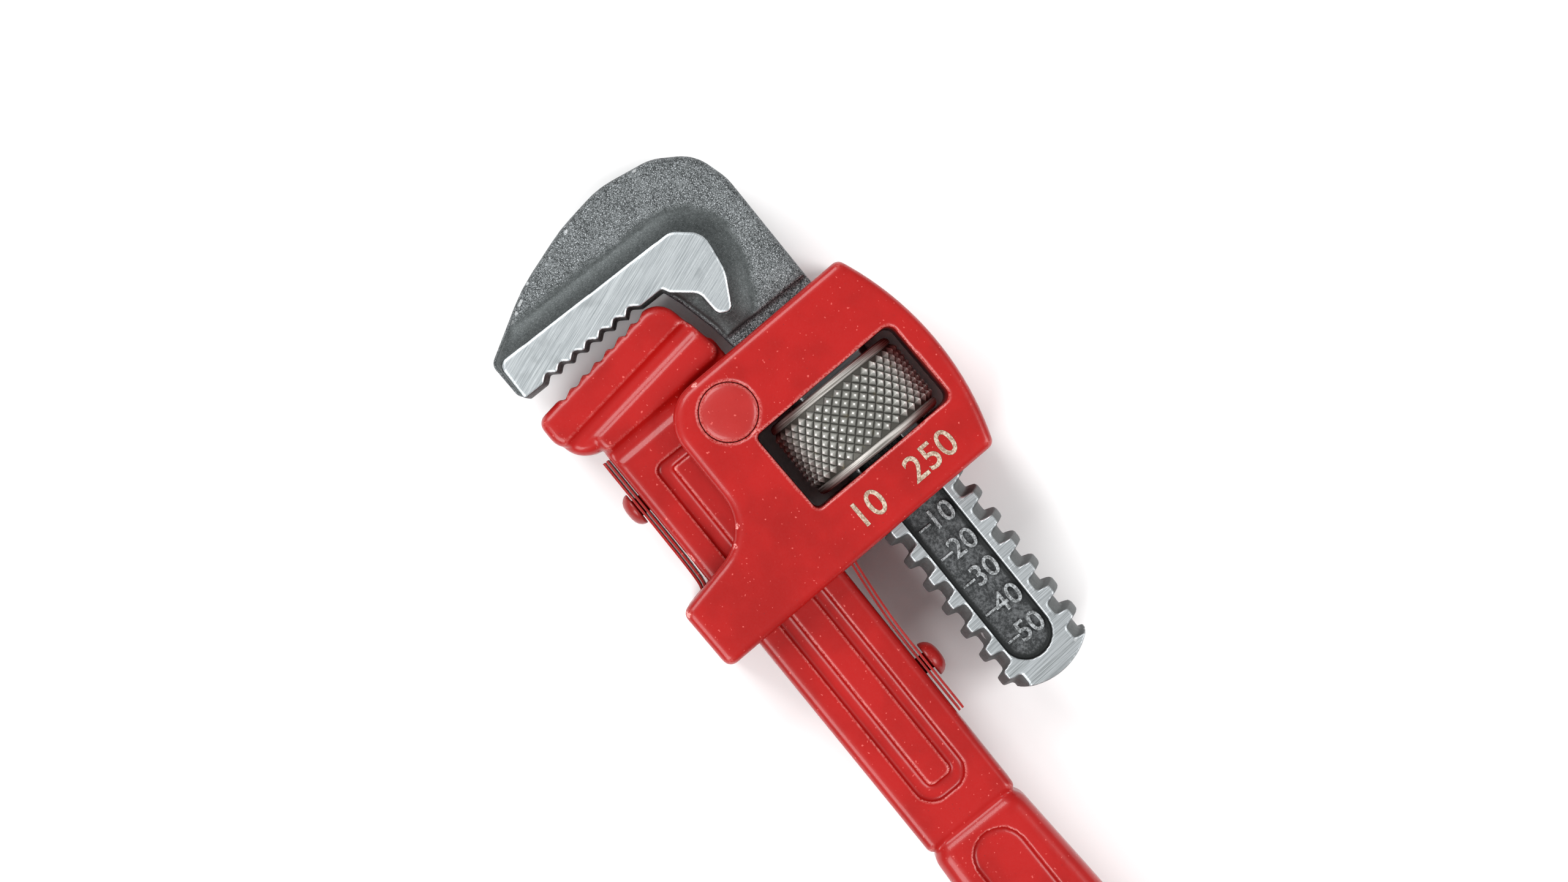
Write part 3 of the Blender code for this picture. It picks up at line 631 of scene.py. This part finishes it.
def make_handle():
    throat = -EYE_RADIUS
    head = slab("heel_head", TOOL, [[
        (heel_x(MOUTH_DEPTH), MOUTH_DEPTH, 1.9), (heel_x(HEEL_ROOT_Y), HEEL_ROOT_Y, 4.2),
        (13.0, throat + 1.2, 1.8), (11.7, MOUTH_DEPTH, 4.2)]],
        -HEEL_HALF, HEEL_HALF, HEEL_RIM)
    lip = slab("heel_lip", TOOL, [[
        (17, MOUTH_DEPTH - 0.2, 2.6), (17, 10, 2.6), (7.4, 12, 2.6), (9.0, MOUTH_DEPTH - 1.4, 5.0)]],
        -6.8, 6.8, 1.9)
    neck = slab("heel_neck", TOOL, [[
        (18, HANDLE_OUTER_Y + 0.3, 2.0), (17, throat + 1.8, 2.0),
        (8.4, throat + 0.2, 2.0), (6.9, HANDLE_OUTER_Y - 0.2, 2.0)]], -7.3, 7.3, 1.3)
    handle = slab("handle_casting", TOOL, [[
        (9, HANDLE_OUTER_Y, 1.8), (13, throat + 0.3, 1.8),
        (3, throat + 0.05, 0), *arc(0, 0, EYE_RADIUS, 275, 180, 16),
        (-EYE_RADIUS, HANDLE_INNER_Y, 1.0),
        (SHOULDER_X - 1, HANDLE_INNER_Y + HANDLE_TAPER, 1.2),
        (SHOULDER_X - 1, HANDLE_OUTER_Y - HANDLE_TAPER, 1.2)]],
        -HANDLE_HALF, HANDLE_HALF, 1.7)
    join(handle, neck, lip, head, make_grip())
    troughs = []
    for face in (1, -1):
        troughs += [bar("heel_trough", TOOL, (10.9, 27, 8.9 * face), (15.7, -9, 8.9 * face), 2.2),
                    bar("neck_recess", TOOL, (5.5, 27, 7.9 * face), (6.7, -9, 7.9 * face), 2.15)]
    cut(handle, *troughs, *panel_grooves(), *grip_pockets())
    holes = [bar("eye", TOOL, (0, 0, -15), (0, 0, 15), PIVOT_RADIUS + GAP),
             bar("hang_hole", TOOL, (HANDLE_END_X + 10.2, HANDLE_CENTRE_Y, -15),
                 (HANDLE_END_X + 10.2, HANDLE_CENTRE_Y, 15), HANG_HOLE_RADIUS)]
    along = Vector((-HEEL_SLOPE, 1))
    teeth = slab("heel_teeth", TOOL, [tooth_line(
        (heel_x(0.6) + 0.02, 0.6), along, TOOTH_PITCH, HEEL_TOOTH_DEPTH, TOOTH_COUNT,
        0.66, (-1, 0))], -10, 10)
    cut(handle, teeth, *holes)
    as_cast(handle, CAST_VOXEL, 4, THINNED)
    figures = [lettering(f"grip_figures_{side}", TOOL, "2 5 0", 5.6,
                         (SHOULDER_X - 30, HANDLE_CENTRE_Y, side * (GRIP_HALF - FIGURE_SINK)),
                         face_turn(side, math.pi), 0.8) for side in (1, -1)]
    return merge_into_one("handle_casting", [handle, *figures])


def face_turn(side, turn):
    """Turns figures about Z, and then to face out of the front (1) or the back (-1)."""
    about_z = Matrix.Rotation(turn, 4, "Z")
    return about_z if side > 0 else Matrix.Rotation(math.pi, 4, "X") @ about_z


def make_grip():
    start_half = (HANDLE_OUTER_Y - HANDLE_INNER_Y) / 2 - HANDLE_TAPER
    end_half = start_half + GRIP_SWELL
    middle = HANDLE_CENTRE_Y
    return slab("grip", TOOL, [[
        (SHOULDER_X, middle + start_half, 3.6), (SHOULDER_X, middle - start_half, 3.6),
        (SHOULDER_X - 24, middle - end_half, 60),
        (HANDLE_END_X, middle - end_half + 0.6, end_half - 0.8),
        (HANDLE_END_X, middle + end_half - 0.6, end_half - 0.8),
        (SHOULDER_X - 24, middle + end_half, 60)]], -GRIP_HALF, GRIP_HALF, 3.0)


def panel_grooves():
    """The long ring groove on each face, round a raised central panel."""
    low, high = HANDLE_INNER_Y + 4.7, HANDLE_OUTER_Y - 4.8
    top, end = 0.6, SHOULDER_X + 5.3
    ring = [[(top, high, 1.6), (top, low, 1.6), (end, low, 3.6), (end, high, 3.6)],
            [(top - 1.9, high - 2.6, 0.5), (top - 1.9, low + 2.3, 0.5),
             (end + 2.8, low + 2.3, 1.1), (end + 2.8, high - 2.6, 1.1)]]
    return both_faces("panel_groove", TOOL, ring, HANDLE_HALF - 1.15, HANDLE_HALF + 2)


def grip_pockets():
    """The long round-ended pocket on each face of the grip."""
    centre = HANDLE_CENTRE_Y
    top, end = SHOULDER_X - 3.6, HANDLE_END_X + 21
    pocket = [[(top, centre + 4.7, 4.6), (top, centre - 4.7, 4.6),
               (end, centre - 4.7, 4.6), (end, centre + 4.7, 4.6)]]
    return both_faces("grip_pocket", TOOL, pocket, GRIP_HALF - 1.2, GRIP_HALF + 3)


# The housing

def housing_outline():
    """The housing seen from its face: a straight top and foot, a waist and a bulging back."""
    top, foot = HOUSING_TOP_X, HOUSING_FOOT_X
    middle, reach = (top + foot) / 2, (top - foot) / 2
    radius = (reach ** 2 + BACK_BULGE ** 2) / (2 * BACK_BULGE)
    span = math.degrees(math.asin(reach / radius))
    bulge = arc(middle, HOUSING_BACK_Y - BACK_BULGE + radius, radius, 270 - span, 270 + span, 20)
    bulge[0], bulge[-1] = (*bulge[0][:2], 2.0), (*bulge[-1][:2], 2.4)
    waist = 10.1
    return [*bulge, (top, waist - 0.6, 7.4), (-17.3, waist, 9.0),
            (foot + 12.2, HOUSING_FRONT_Y, 1.7), (foot, HOUSING_FRONT_Y, 1.7)]


def make_housing():
    housing = slab("housing_casting", HOUSING, [housing_outline()], -HOUSING_HALF, HOUSING_HALF, 1.5)
    inside, far = HANDLE_HALF + GAP, 40
    shank_side = AXIS_Y + PASSAGE_RADIUS - 0.5
    handle_room = slab("handle_room", HOUSING, [[
        (far, far, 0), (far, shank_side, 0), (WINDOW_TOP_X, shank_side, 0),
        (WINDOW_TOP_X - 2, WEB_FACE_Y, 1.5), (-far, WEB_FACE_Y, 0), (-far, FRONT_WALL_Y, 0),
        (HOUSING_FOOT_X + 13.5, FRONT_WALL_Y, 0), (HOUSING_FOOT_X + 13.5, far, 0)]],
        -inside, inside)
    shank_room = slab("shank_room", TOOL, [[
        (far, AXIS_Y + PASSAGE_RADIUS, 0), (far, AXIS_Y - PASSAGE_RADIUS, 0),
        (-far, AXIS_Y - PASSAGE_RADIUS, 0), (-far, AXIS_Y + PASSAGE_RADIUS, 0)]],
        -SHANK_HALF - RUN, SHANK_HALF + RUN)
    window = slab("window", HOUSING, [[
        (WINDOW_TOP_X, WINDOW_FRONT_Y, 1.0), (WINDOW_TOP_X, WINDOW_BACK_Y, 1.6),
        (WINDOW_FOOT_X, WINDOW_BACK_Y, 1.6), (WINDOW_FOOT_X, WINDOW_FRONT_Y, 1.0)]], -20, 20)
    bore = bar("rivet_bore", HOUSING, (0, 0, -20), (0, 0, 20), PIVOT_RADIUS + GAP)
    seats = [bar("head_seat", HOUSING, (0, 0, side * 30),
                 (0, 0, side * (HOUSING_HALF - PIVOT_HEAD_DEPTH - GAP)), PIVOT_HEAD_RADIUS + 0.12)
             for side in (1, -1)]
    cut(housing, handle_room, shank_room, window, bore, *seats)
    return as_cast(housing, CAST_VOXEL, 4, THINNED)


def make_housing_figures():
    """The size in raised figures along the foot of each cheek, rubbed down to bare metal."""
    faces = []
    for side in (1, -1):
        place = (HOUSING_FOOT_X + 5.2, AXIS_Y + 1.1, side * (HOUSING_HALF - 0.16))
        faces.append(lettering(f"cheek_figures_{side}", HOUSING, "10   250", 4.7, place,
                               face_turn(side, -math.pi / 2), 0.4))
    return merge_into_one("housing_figures", faces)


def make_pivot_rivet():
    face, head = HOUSING_HALF, HOUSING_HALF - PIVOT_HEAD_DEPTH
    rise = [(0, 1), (1.2, 0.97), (2.4, 0.86), (3.4, 0.66), (4.1, 0.36)]
    upper = [(r, face + PIVOT_DOME * h) for r, h in rise]
    upper += [(4.5, face + 0.02), (4.8, face - 0.14), (4.95, face - 0.35),
              (PIVOT_HEAD_RADIUS, face - 0.6), (PIVOT_HEAD_RADIUS, head), (PIVOT_RADIUS, head)]
    profile = upper + [(r, -h) for r, h in reversed(upper)]
    return turned("pivot_rivet_heads", HOUSING, profile, 96)


# The springs

def leaf_lines():
    """The inner face of each spring's first leaf, as (x, y) points, and which way is outward."""
    front_y, rear_y = HANDLE_OUTER_Y + GAP, HANDLE_INNER_Y - 0.1
    front_tip = FRONT_WALL_Y - 30 * math.sin(LEAN) - 2 * LEAF_STEP
    front = [(6.6, front_y), (-16, front_y), (-21, front_y + 0.6),
             (-26, front_tip - 0.4), (-31, front_tip)]
    rear_tip = WEB_FACE_Y + 2 * LEAF_STEP + 0.2
    rear = [(-63.6, rear_y), (-48.0, rear_y), (-42.0, rear_y - 0.3),
            (-33.5, rear_tip + 0.9), (-24, rear_tip - 0.5)]
    return {"front": (front, 1), "rear": (rear, -1)}


def eased_line(points, steps):
    """A smooth line through points, by Catmull and Rom's rule."""
    ends = [2 * Vector(points[0]) - Vector(points[1]), *map(Vector, points),
            2 * Vector(points[-1]) - Vector(points[-2])]
    line = []
    for a, b, c, d in zip(ends, ends[1:], ends[2:], ends[3:]):
        for i in range(steps):
            t = i / steps
            line.append(0.5 * (2 * b + (c - a) * t + (2 * a - 5 * b + 4 * c - d) * t ** 2
                               + (3 * b - a - 3 * c + d) * t ** 3))
    return line + [Vector(points[-1])]


def make_leaf(name, line, outward, offset):
    """One spring leaf: a strip along a line, lifted off it by an offset, with round edges."""
    smooth = eased_line(line, 12)
    near = [(p.x, p.y + outward * offset, 0) for p in smooth]
    away = [(p.x, p.y + outward * (offset + LEAF_THICKNESS), 0) for p in reversed(smooth)]
    leaf = slab(name, TOOL, [near + away], -LEAF_WIDTH / 2, LEAF_WIDTH / 2)
    bevel = leaf.modifiers.new("edges", "BEVEL")
    bevel.width = 0.12 * MM
    bevel.segments = 2
    bevel.limit_method = "ANGLE"
    bevel.angle_limit = math.radians(40)
    apply_modifiers(leaf)
    leaf.data.shade_smooth()
    leaf.data.set_sharp_from_angle(angle=math.radians(40))
    return leaf


def make_spring_rivet(name, x, under, outward, radius, height):
    curve = [(0, 1.0), (0.3, 0.98), (0.55, 0.9), (0.75, 0.74), (0.9, 0.5), (0.98, 0.25), (1, 0.06)]
    deep = SPRING_RIVET_DEPTH + 2 * LEAF_STEP
    profile = [(radius * r, height * h) for r, h in curve] + [
        (radius * 0.96, 0), (SPRING_RIVET_RADIUS, 0), (SPRING_RIVET_RADIUS, -deep), (0, -deep)]
    turn = Matrix.Rotation(-outward * math.pi / 2, 4, "X")
    plane = TOOL @ Matrix.Translation((x, under, 0)) @ turn
    return turned(name, plane, profile, 48)


# The nut

def knurl_tree(material):
    """Rows of four-sided points that stand round a cylinder about X, from named sizes."""
    tree = bpy.data.node_groups.new("knurl", "GeometryNodeTree")
    sizes = {"Radius": NUT_RADIUS - KNURL_DEPTH, "Depth": KNURL_DEPTH, "Half Width": 1.08,
             "Flat": 0.2, "Row Pitch": 2.1, "Round": KNURL_ROUND, "Rows": KNURL_ROWS}
    tree.interface.new_socket("Geometry", in_out="INPUT", socket_type="NodeSocketGeometry")
    for name, value in sizes.items():
        kind = "NodeSocketInt" if name in ("Round", "Rows") else "NodeSocketFloat"
        tree.interface.new_socket(name, in_out="INPUT", socket_type=kind).default_value = value
    tree.interface.new_socket("Geometry", in_out="OUTPUT", socket_type="NodeSocketGeometry")
    nodes, links = tree.nodes, tree.links
    given = nodes.new("NodeGroupInput").outputs

    def node(kind, settings=None, inputs=None):
        made = nodes.new(kind)
        for setting, value in (settings or {}).items():
            setattr(made, setting, value)
        for key, value in (inputs or {}).items():
            if isinstance(value, bpy.types.NodeSocket):
                links.new(value, made.inputs[key])
            else:
                made.inputs[key].default_value = value
        return made.outputs

    def maths(operation, *values):
        return node("ShaderNodeMath", {"operation": operation}, dict(enumerate(values)))[0]

    row_count = maths("MULTIPLY", given["Rows"], 2)
    total = maths("MULTIPLY", given["Round"], row_count)
    points = node("GeometryNodePoints", {}, {"Count": total})
    index = node("GeometryNodeInputIndex")[0]
    row = maths("FLOOR", maths("DIVIDE", index, given["Round"]))
    place = maths("SUBTRACT", index, maths("MULTIPLY", row, given["Round"]))
    stagger = maths("MULTIPLY", maths("MODULO", row, 2), 0.5)
    share = maths("DIVIDE", maths("ADD", place, stagger), given["Round"])
    turn = maths("MULTIPLY", share, math.tau)
    middle = maths("SUBTRACT", row, maths("DIVIDE", maths("SUBTRACT", row_count, 1), 2))
    along = maths("MULTIPLY", middle, maths("MULTIPLY", given["Row Pitch"], 0.5 * MM))
    outward = node("ShaderNodeCombineXYZ", {}, {
        "X": 0.0, "Y": maths("COSINE", turn), "Z": maths("SINE", turn)})[0]
    sunk = maths("MULTIPLY", given["Radius"], MM)
    ring = node("ShaderNodeVectorMath", {"operation": "SCALE"},
                {"Vector": outward, "Scale": sunk})[0]
    spot = node("ShaderNodeCombineXYZ", {}, {"X": along})[0]
    spot = node("ShaderNodeVectorMath", {"operation": "ADD"}, {0: ring, 1: spot})[0]
    placed = node("GeometryNodeSetPosition", {}, {"Geometry": points[0], "Position": spot})[0]
    point = node("GeometryNodeMeshCone", {}, {
        "Vertices": 4, "Side Segments": 1, "Radius Top": maths("MULTIPLY", given["Flat"], MM),
        "Radius Bottom": maths("MULTIPLY", given["Half Width"], MM),
        "Depth": maths("MULTIPLY", given["Depth"], MM)})[0]
    upright = node("FunctionNodeAlignRotationToVector", {"axis": "Z", "pivot_axis": "X"},
                   {"Vector": outward})[0]
    stood = node("GeometryNodeInstanceOnPoints", {}, {
        "Points": placed, "Instance": point, "Rotation": upright})[0]
    solid = node("GeometryNodeRealizeInstances", {}, {"Geometry": stood})[0]
    both = nodes.new("GeometryNodeJoinGeometry")
    links.new(solid, both.inputs[0])
    links.new(given["Geometry"], both.inputs[0])
    painted = node("GeometryNodeSetMaterial", {},
                   {"Geometry": both.outputs[0], "Material": material})[0]
    links.new(painted, nodes.new("NodeGroupOutput").inputs[0])
    return tree


def make_nut(material):
    """A knurled ring with a plain rim at each end, threaded to run on the shank."""
    half, rim, root = NUT_LENGTH / 2, NUT_RADIUS - NUT_RIM_DROP, NUT_RADIUS - KNURL_DEPTH
    bore = THREAD_RADIUS - THREAD_DEPTH - 1
    edge = half - NUT_RIM_LENGTH
    upper = [(bore, half), (rim - 0.9, half), (rim - 0.35, half - 0.2), (rim - 0.08, half - 0.55),
             (rim, half - 0.8), (rim, edge + 0.1), (rim - 0.1, edge), (root, edge - 0.15)]
    profile = upper + [(r, -h) for r, h in reversed(upper)]
    along_x = TOOL @ Matrix.Translation((NUT - PIVOT) / MM) @ Matrix.Rotation(math.pi / 2, 4, "Y")
    nut = turned("knurled_nut", along_x, profile + [profile[0]], 152)
    turns_below = 6
    thread = threaded_bar(
        "nut_thread", THREAD_RADIUS + GAP, THREAD_RADIUS - THREAD_DEPTH + GAP, CREST_WIDTH + 2 * GAP,
        (NUT.x - PIVOT.x) / MM - turns_below * PITCH, 9, 72)
    cut(nut, thread)
    to_axis = Matrix.Translation(NUT)
    nut.data.transform(to_axis.inverted())
    nut.data.shade_smooth()
    nut.data.set_sharp_from_angle(angle=math.radians(28))
    knurl = nut.modifiers.new("knurl", "NODES")
    knurl.node_group = knurl_tree(material)
    given = {item.name: item.identifier for item in knurl.node_group.interface.items_tree
             if item.in_out == "INPUT"}
    knurl[given["Half Width"]] = math.tau * (NUT_RADIUS - KNURL_DEPTH) / KNURL_ROUND / 2 + 0.02
    apply_modifiers(nut)
    nut.data.transform(to_axis)
    return nut


# The hook jaw

def jaw_outline():
    """The hook jaw's forged body, from the tip over the top and down the back of the shank."""
    top, tooth = JAW_TOP_X, JAW_TOOTH_X
    return [
        (tooth + 0.3, MOUTH_DEPTH - 0.2, 1.6), (top - 11.7, MOUTH_DEPTH, 1.8),
        (top - 4.8, 14.2, 30), (top - 1.1, 2.8, 30), (top + 0.3, -6.5, 16), (top - 1.4, -16.5, 9),
        (top - 5.5, -22.8, 8), (top - 12, SHANK_BACK_Y, 10), (THREAD_START_X - 2, SHANK_BACK_Y, 1.6),
        (THREAD_START_X - 2, SHANK_FRONT_Y, 1.6), (8, SHANK_FRONT_Y, 6), (13, -6.9, 6),
        (tooth - 3.7, -5.3, 5), (tooth + 0.3, -3.9, 1.2)]


def ground_outline():
    """The flat ground face beside the teeth, which ends in a rounded heel down the shank."""
    tooth = JAW_TOOTH_X
    return [
        (tooth, MOUTH_DEPTH - 0.9, 0.3), (tooth + 7.4, MOUTH_DEPTH - 1.1, 1.6),
        (tooth + 6.7, -11.4, 3.2), (tooth + 3.0, -15.7, 4.0), (tooth - 4.5, -14.6, 8),
        (tooth - 10.6, -11.2, 1.4), (tooth - 9.2, -8.9, 1.4), (tooth - 4.6, -8.6, 1.5),
        (tooth - 1.4, -4.8, 0.9), (tooth - 0.1, -4.2, 0.3)]


def tool_places(piece):
    """A piece's vertices in the tool's millimetres."""
    places = np.empty(len(piece.data.vertices) * 3)
    piece.data.vertices.foreach_get("co", places)
    return (places.reshape(-1, 3) - np.array(PIVOT)) / MM


def distance_outside(places, outline):
    """How far points lie from an outline in the tool's plane: below 0 inside it."""
    ring = np.array(rounded(outline))
    nearest = np.full(len(places), 1e9)
    inside = np.zeros(len(places), bool)
    for start, end in zip(ring, np.roll(ring, -1, axis=0)):
        edge, from_start = end - start, places[:, :2] - start
        share = np.clip(from_start @ edge / (edge @ edge), 0, 1)
        nearest = np.minimum(nearest, np.hypot(*(from_start - share[:, None] * edge).T))
        crosses = (start[1] > places[:, 1]) != (end[1] > places[:, 1])
        rise = np.where(crosses, edge[1], 1)
        inside ^= crosses & (from_start[:, 0] < edge[0] * from_start[:, 1] / rise)
    return np.where(inside, -nearest, nearest)


def raise_fillet(piece):
    """Lifts the forged skin in a hollow curve to meet the ground face."""
    places = tool_places(piece)
    beside = distance_outside(places, ground_outline())
    height = np.abs(places[:, 2])
    climb = np.clip(1 - beside / FILLET_REACH, 0, 1) ** 2.2
    target = JAW_HALF - 0.25 + (GROUND_HALF - JAW_HALF) * climb
    on_skin = (height > JAW_HALF - 0.25) & (beside > 0) & (beside < FILLET_REACH)
    places[:, 2] = np.where(on_skin, np.sign(places[:, 2]) * np.maximum(
        target - np.maximum(JAW_HALF - height, 0), np.minimum(height, target + 0.25)), places[:, 2])
    piece.data.vertices.foreach_set("co", (places * MM + np.array(PIVOT)).ravel())
    piece.data.update()


def mark_zones(piece):
    """Keeps on the mesh how far each point is from the ground face and from the channel's rim."""
    places = tool_places(piece)
    for name, outline in (("from_ground", ground_outline()), ("from_channel", channel_outline())):
        zone = piece.data.attributes.new(name, "FLOAT", "POINT")
        zone.data.foreach_set("value", distance_outside(places, outline).astype(np.float32))


def channel_outline():
    middle, end, half = AXIS_Y + 0.5, SHANK_END_X + 4.5, CHANNEL_WIDTH / 2
    return [(-8, middle + half, 4.3), (-8, middle - half, 4.3),
            (end, middle - half, 4.3), (end, middle + half, 4.3)]


def make_hook_jaw():
    jaw = slab("hook_jaw_forging", TOOL, [jaw_outline()], -JAW_HALF, JAW_HALF, 1.6)
    thin = both_faces("shank_relief", TOOL, [[
        (HOUSING_TOP_X + 2.4, 0, 0), (HOUSING_TOP_X + 2.4, -40, 0), (-20, -40, 0), (-20, 0, 0)]],
        SHANK_HALF, JAW_HALF + 6)
    ground = slab("ground_face", TOOL, [ground_outline()], -GROUND_HALF, GROUND_HALF, 0.2, 2)
    nut_x = (NUT.x - PIVOT.x) / MM
    turns = math.ceil((THREAD_START_X - SHANK_END_X) / PITCH) + 5
    below = math.ceil((nut_x - SHANK_END_X) / PITCH) + 4
    rack = threaded_bar("rack", THREAD_RADIUS, THREAD_RADIUS - THREAD_DEPTH, CREST_WIDTH,
                        nut_x - below * PITCH, turns, 96)
    blank = slab("rack_blank", TOOL, [[
        (THREAD_START_X, AXIS_Y + THREAD_RADIUS + 2, 0),
        (THREAD_START_X, AXIS_Y - THREAD_RADIUS - 2, 0),
        *arc(SHANK_END_X + SHANK_END_RADIUS, AXIS_Y, SHANK_END_RADIUS, 240, 120, 24)]],
        -SHANK_HALF, SHANK_HALF)
    combine(rack, "INTERSECT", blank)
    cut(jaw, *thin)
    join(jaw, rack, ground)
    cut(jaw, *both_faces("size_channel", TOOL, [channel_outline()], SHANK_HALF - CHANNEL_DEPTH, 9))
    cut(jaw, slab("hook_teeth", TOOL, [tooth_line(
        (JAW_TOOTH_X - 0.02, 0.5), (0, 1), TOOTH_PITCH, HOOK_TOOTH_DEPTH, TOOTH_COUNT,
        0.55, (1, 0))], -10, 10))
    as_cast(jaw, FORGED_VOXEL, 2, 1)
    raise_fillet(jaw)
    thin_out = jaw.modifiers.new("thin_out", "DECIMATE")
    thin_out.ratio = THINNED
    apply_modifiers(jaw)
    jaw.data.shade_smooth()
    mark_zones(jaw)
    return jaw


def make_size_marks():
    """Raised opening sizes and ticks on the floor of the shank's channel, on both faces."""
    marks = []
    middle, floor = AXIS_Y + 0.5, SHANK_HALF - CHANNEL_DEPTH
    for side in (1, -1):
        for i, x in enumerate(range(-36, -62, -6)):
            marks.append(slab(f"tick_{side}_{x}", TOOL, [[
                (x + 0.22, middle + 3.4, 0.1), (x - 0.22, middle + 3.4, 0.1),
                (x - 0.22, middle + 0.9, 0.1), (x + 0.22, middle + 0.9, 0.1)]],
                *sorted((side * (floor - 0.2), side * (floor + 0.45))), 0.1, 2))
            marks.append(lettering(f"size_{side}_{x}", TOOL, str(10 * i + 10), 3.7,
                                   (x, middle - 1.3, side * (floor + 0.15)),
                                   face_turn(side, -math.pi / 2), 0.9))
    return merge_into_one("size_marks", marks)


def finished(piece, body, material, slot, *nodes):
    """Gives a piece its finish and hands it to the frame in place of its nodes."""
    set_material(piece, material)
    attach(piece, body)
    if nodes:
        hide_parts(*nodes)
    return piece


def make_springs(spring_red):
    """Two leaves and a rivet at each end. The leaves bend from the handle to the housing."""
    for end, (line, outward) in leaf_lines().items():
        for i, layer in enumerate(("inner", "outer")):
            leaf = make_leaf(f"{end}_{layer}_leaf", line, outward, i * LEAF_STEP)
            set_material(leaf, spring_red)
            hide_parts(f"{end}_spring_{layer}_leaf")
            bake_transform(leaf)
        x, radius, height = SPRING_RIVETS[end]
        under = line[0][1] + outward * 2 * LEAF_STEP
        rivet = make_spring_rivet(f"{end}_rivet_head", x, under, outward, radius, height)
        rivet.data.shade_smooth()
        finished(rivet, "handle", spring_red, "red_paint", f"{end}_spring_rivet")


# The studio

def make_floor():
    mesh = bpy.data.meshes.new("floor")
    reach = 4.0
    mesh.from_pydata([(-reach, -reach, -0.0004), (reach, -reach, -0.0004),
                      (reach, reach, -0.0004), (-reach, reach, -0.0004)], [], [(0, 1, 2, 3)])
    finish = Finish("pale_floor", Roughness=0.9, Specular_IOR_Level=0.1)
    tint = finish.colours(colour(0.93, 0.93, 0.93), colour(0.97, 0.97, 0.97), finish.noise(0.01, 2))
    floor = add_object("floor", mesh)
    floor.data.materials.append(finish.give(Base_Color=tint))


def soft_light(name, place, size, power):
    """A square panel that faces the middle of the tool."""
    light = bpy.data.lights.new(name, "AREA")
    light.size = size
    light.energy = power
    lamp = add_object(name, light)
    lamp.location = place
    lamp.rotation_euler = Vector(place).to_track_quat("Z", "Y").to_euler()


def light_studio():
    world = bpy.data.worlds.new("studio")
    bpy.context.scene.world = world
    world.use_nodes = True
    world.node_tree.nodes["Background"].inputs["Color"].default_value = colour(1, 1, 1)
    world.node_tree.nodes["Background"].inputs["Strength"].default_value = 0.38
    soft_light("key_panel", (-0.2, 0.66, 0.86), 0.6, 9.5)
    soft_light("side_panel", (0.75, 0.05, 0.8), 0.5, 7.5)
    soft_light("rim_panel", (-0.45, -0.62, 0.8), 0.5, 6.5)
    bpy.context.scene.view_settings.view_transform = "Standard"


def aim_camera():
    """Looks straight down on the jaws' end, with the handle running off towards a corner."""
    camera = bpy.data.cameras.new("camera")
    camera.lens = 99
    camera.sensor_width = 36
    camera.clip_start = 0.01
    eye = add_object("camera", camera)
    eye.location = (0.0503, -0.0004, PIVOT.z + 0.7326)
    eye.rotation_euler = (0, 0, math.radians(-128.9))
    bpy.context.scene.camera = eye


# Building the tool

for start_object in [o for o in bpy.data.objects if o.name in ("Cube", "Light", "Camera")]:
    bpy.data.objects.remove(start_object)

red = red_enamel("red_enamel", colour(0.34, 0.004, 0.003), colour(0.27, 0.003, 0.002))
rivet_red = red_enamel("rivet_enamel", colour(0.345, 0.016, 0.014), colour(0.31, 0.013, 0.011))
# The springs get almost none of the painted highlight on their edges.
spring_red = red_enamel("spring_enamel", colour(0.28, 0.004, 0.003), colour(0.21, 0.003, 0.002),
                        peel_depth=0.02, wear_and_sheen=0.05)
steel = jaw_steel()
marked = raised_steel("raised_steel", colour(0.08, 0.084, 0.085), colour(0.4, 0.42, 0.43))
bared = raised_steel("bared_figures", colour(0.26, 0.16, 0.11), colour(0.56, 0.47, 0.37))
knurled = nut_steel()

finished(make_handle(), "handle", red, "red_paint", "handle")
finished(make_housing(), "housing", red, "red_paint", "housing")
rivet = make_pivot_rivet()
rivet.data.shade_smooth()
finished(rivet, "housing", rivet_red, "red_paint", "pivot_rivet")
make_springs(spring_red)
finished(make_nut(knurled), "nut", knurled, "nut_steel", "adjusting_nut")
finished(make_hook_jaw(), "hook_jaw", steel, "forged_steel", "hook_jaw")
finished(make_size_marks(), "hook_jaw", marked, "forged_steel")
finished(make_housing_figures(), "housing", bared, "forged_steel")

make_floor()
light_studio()
aim_camera()
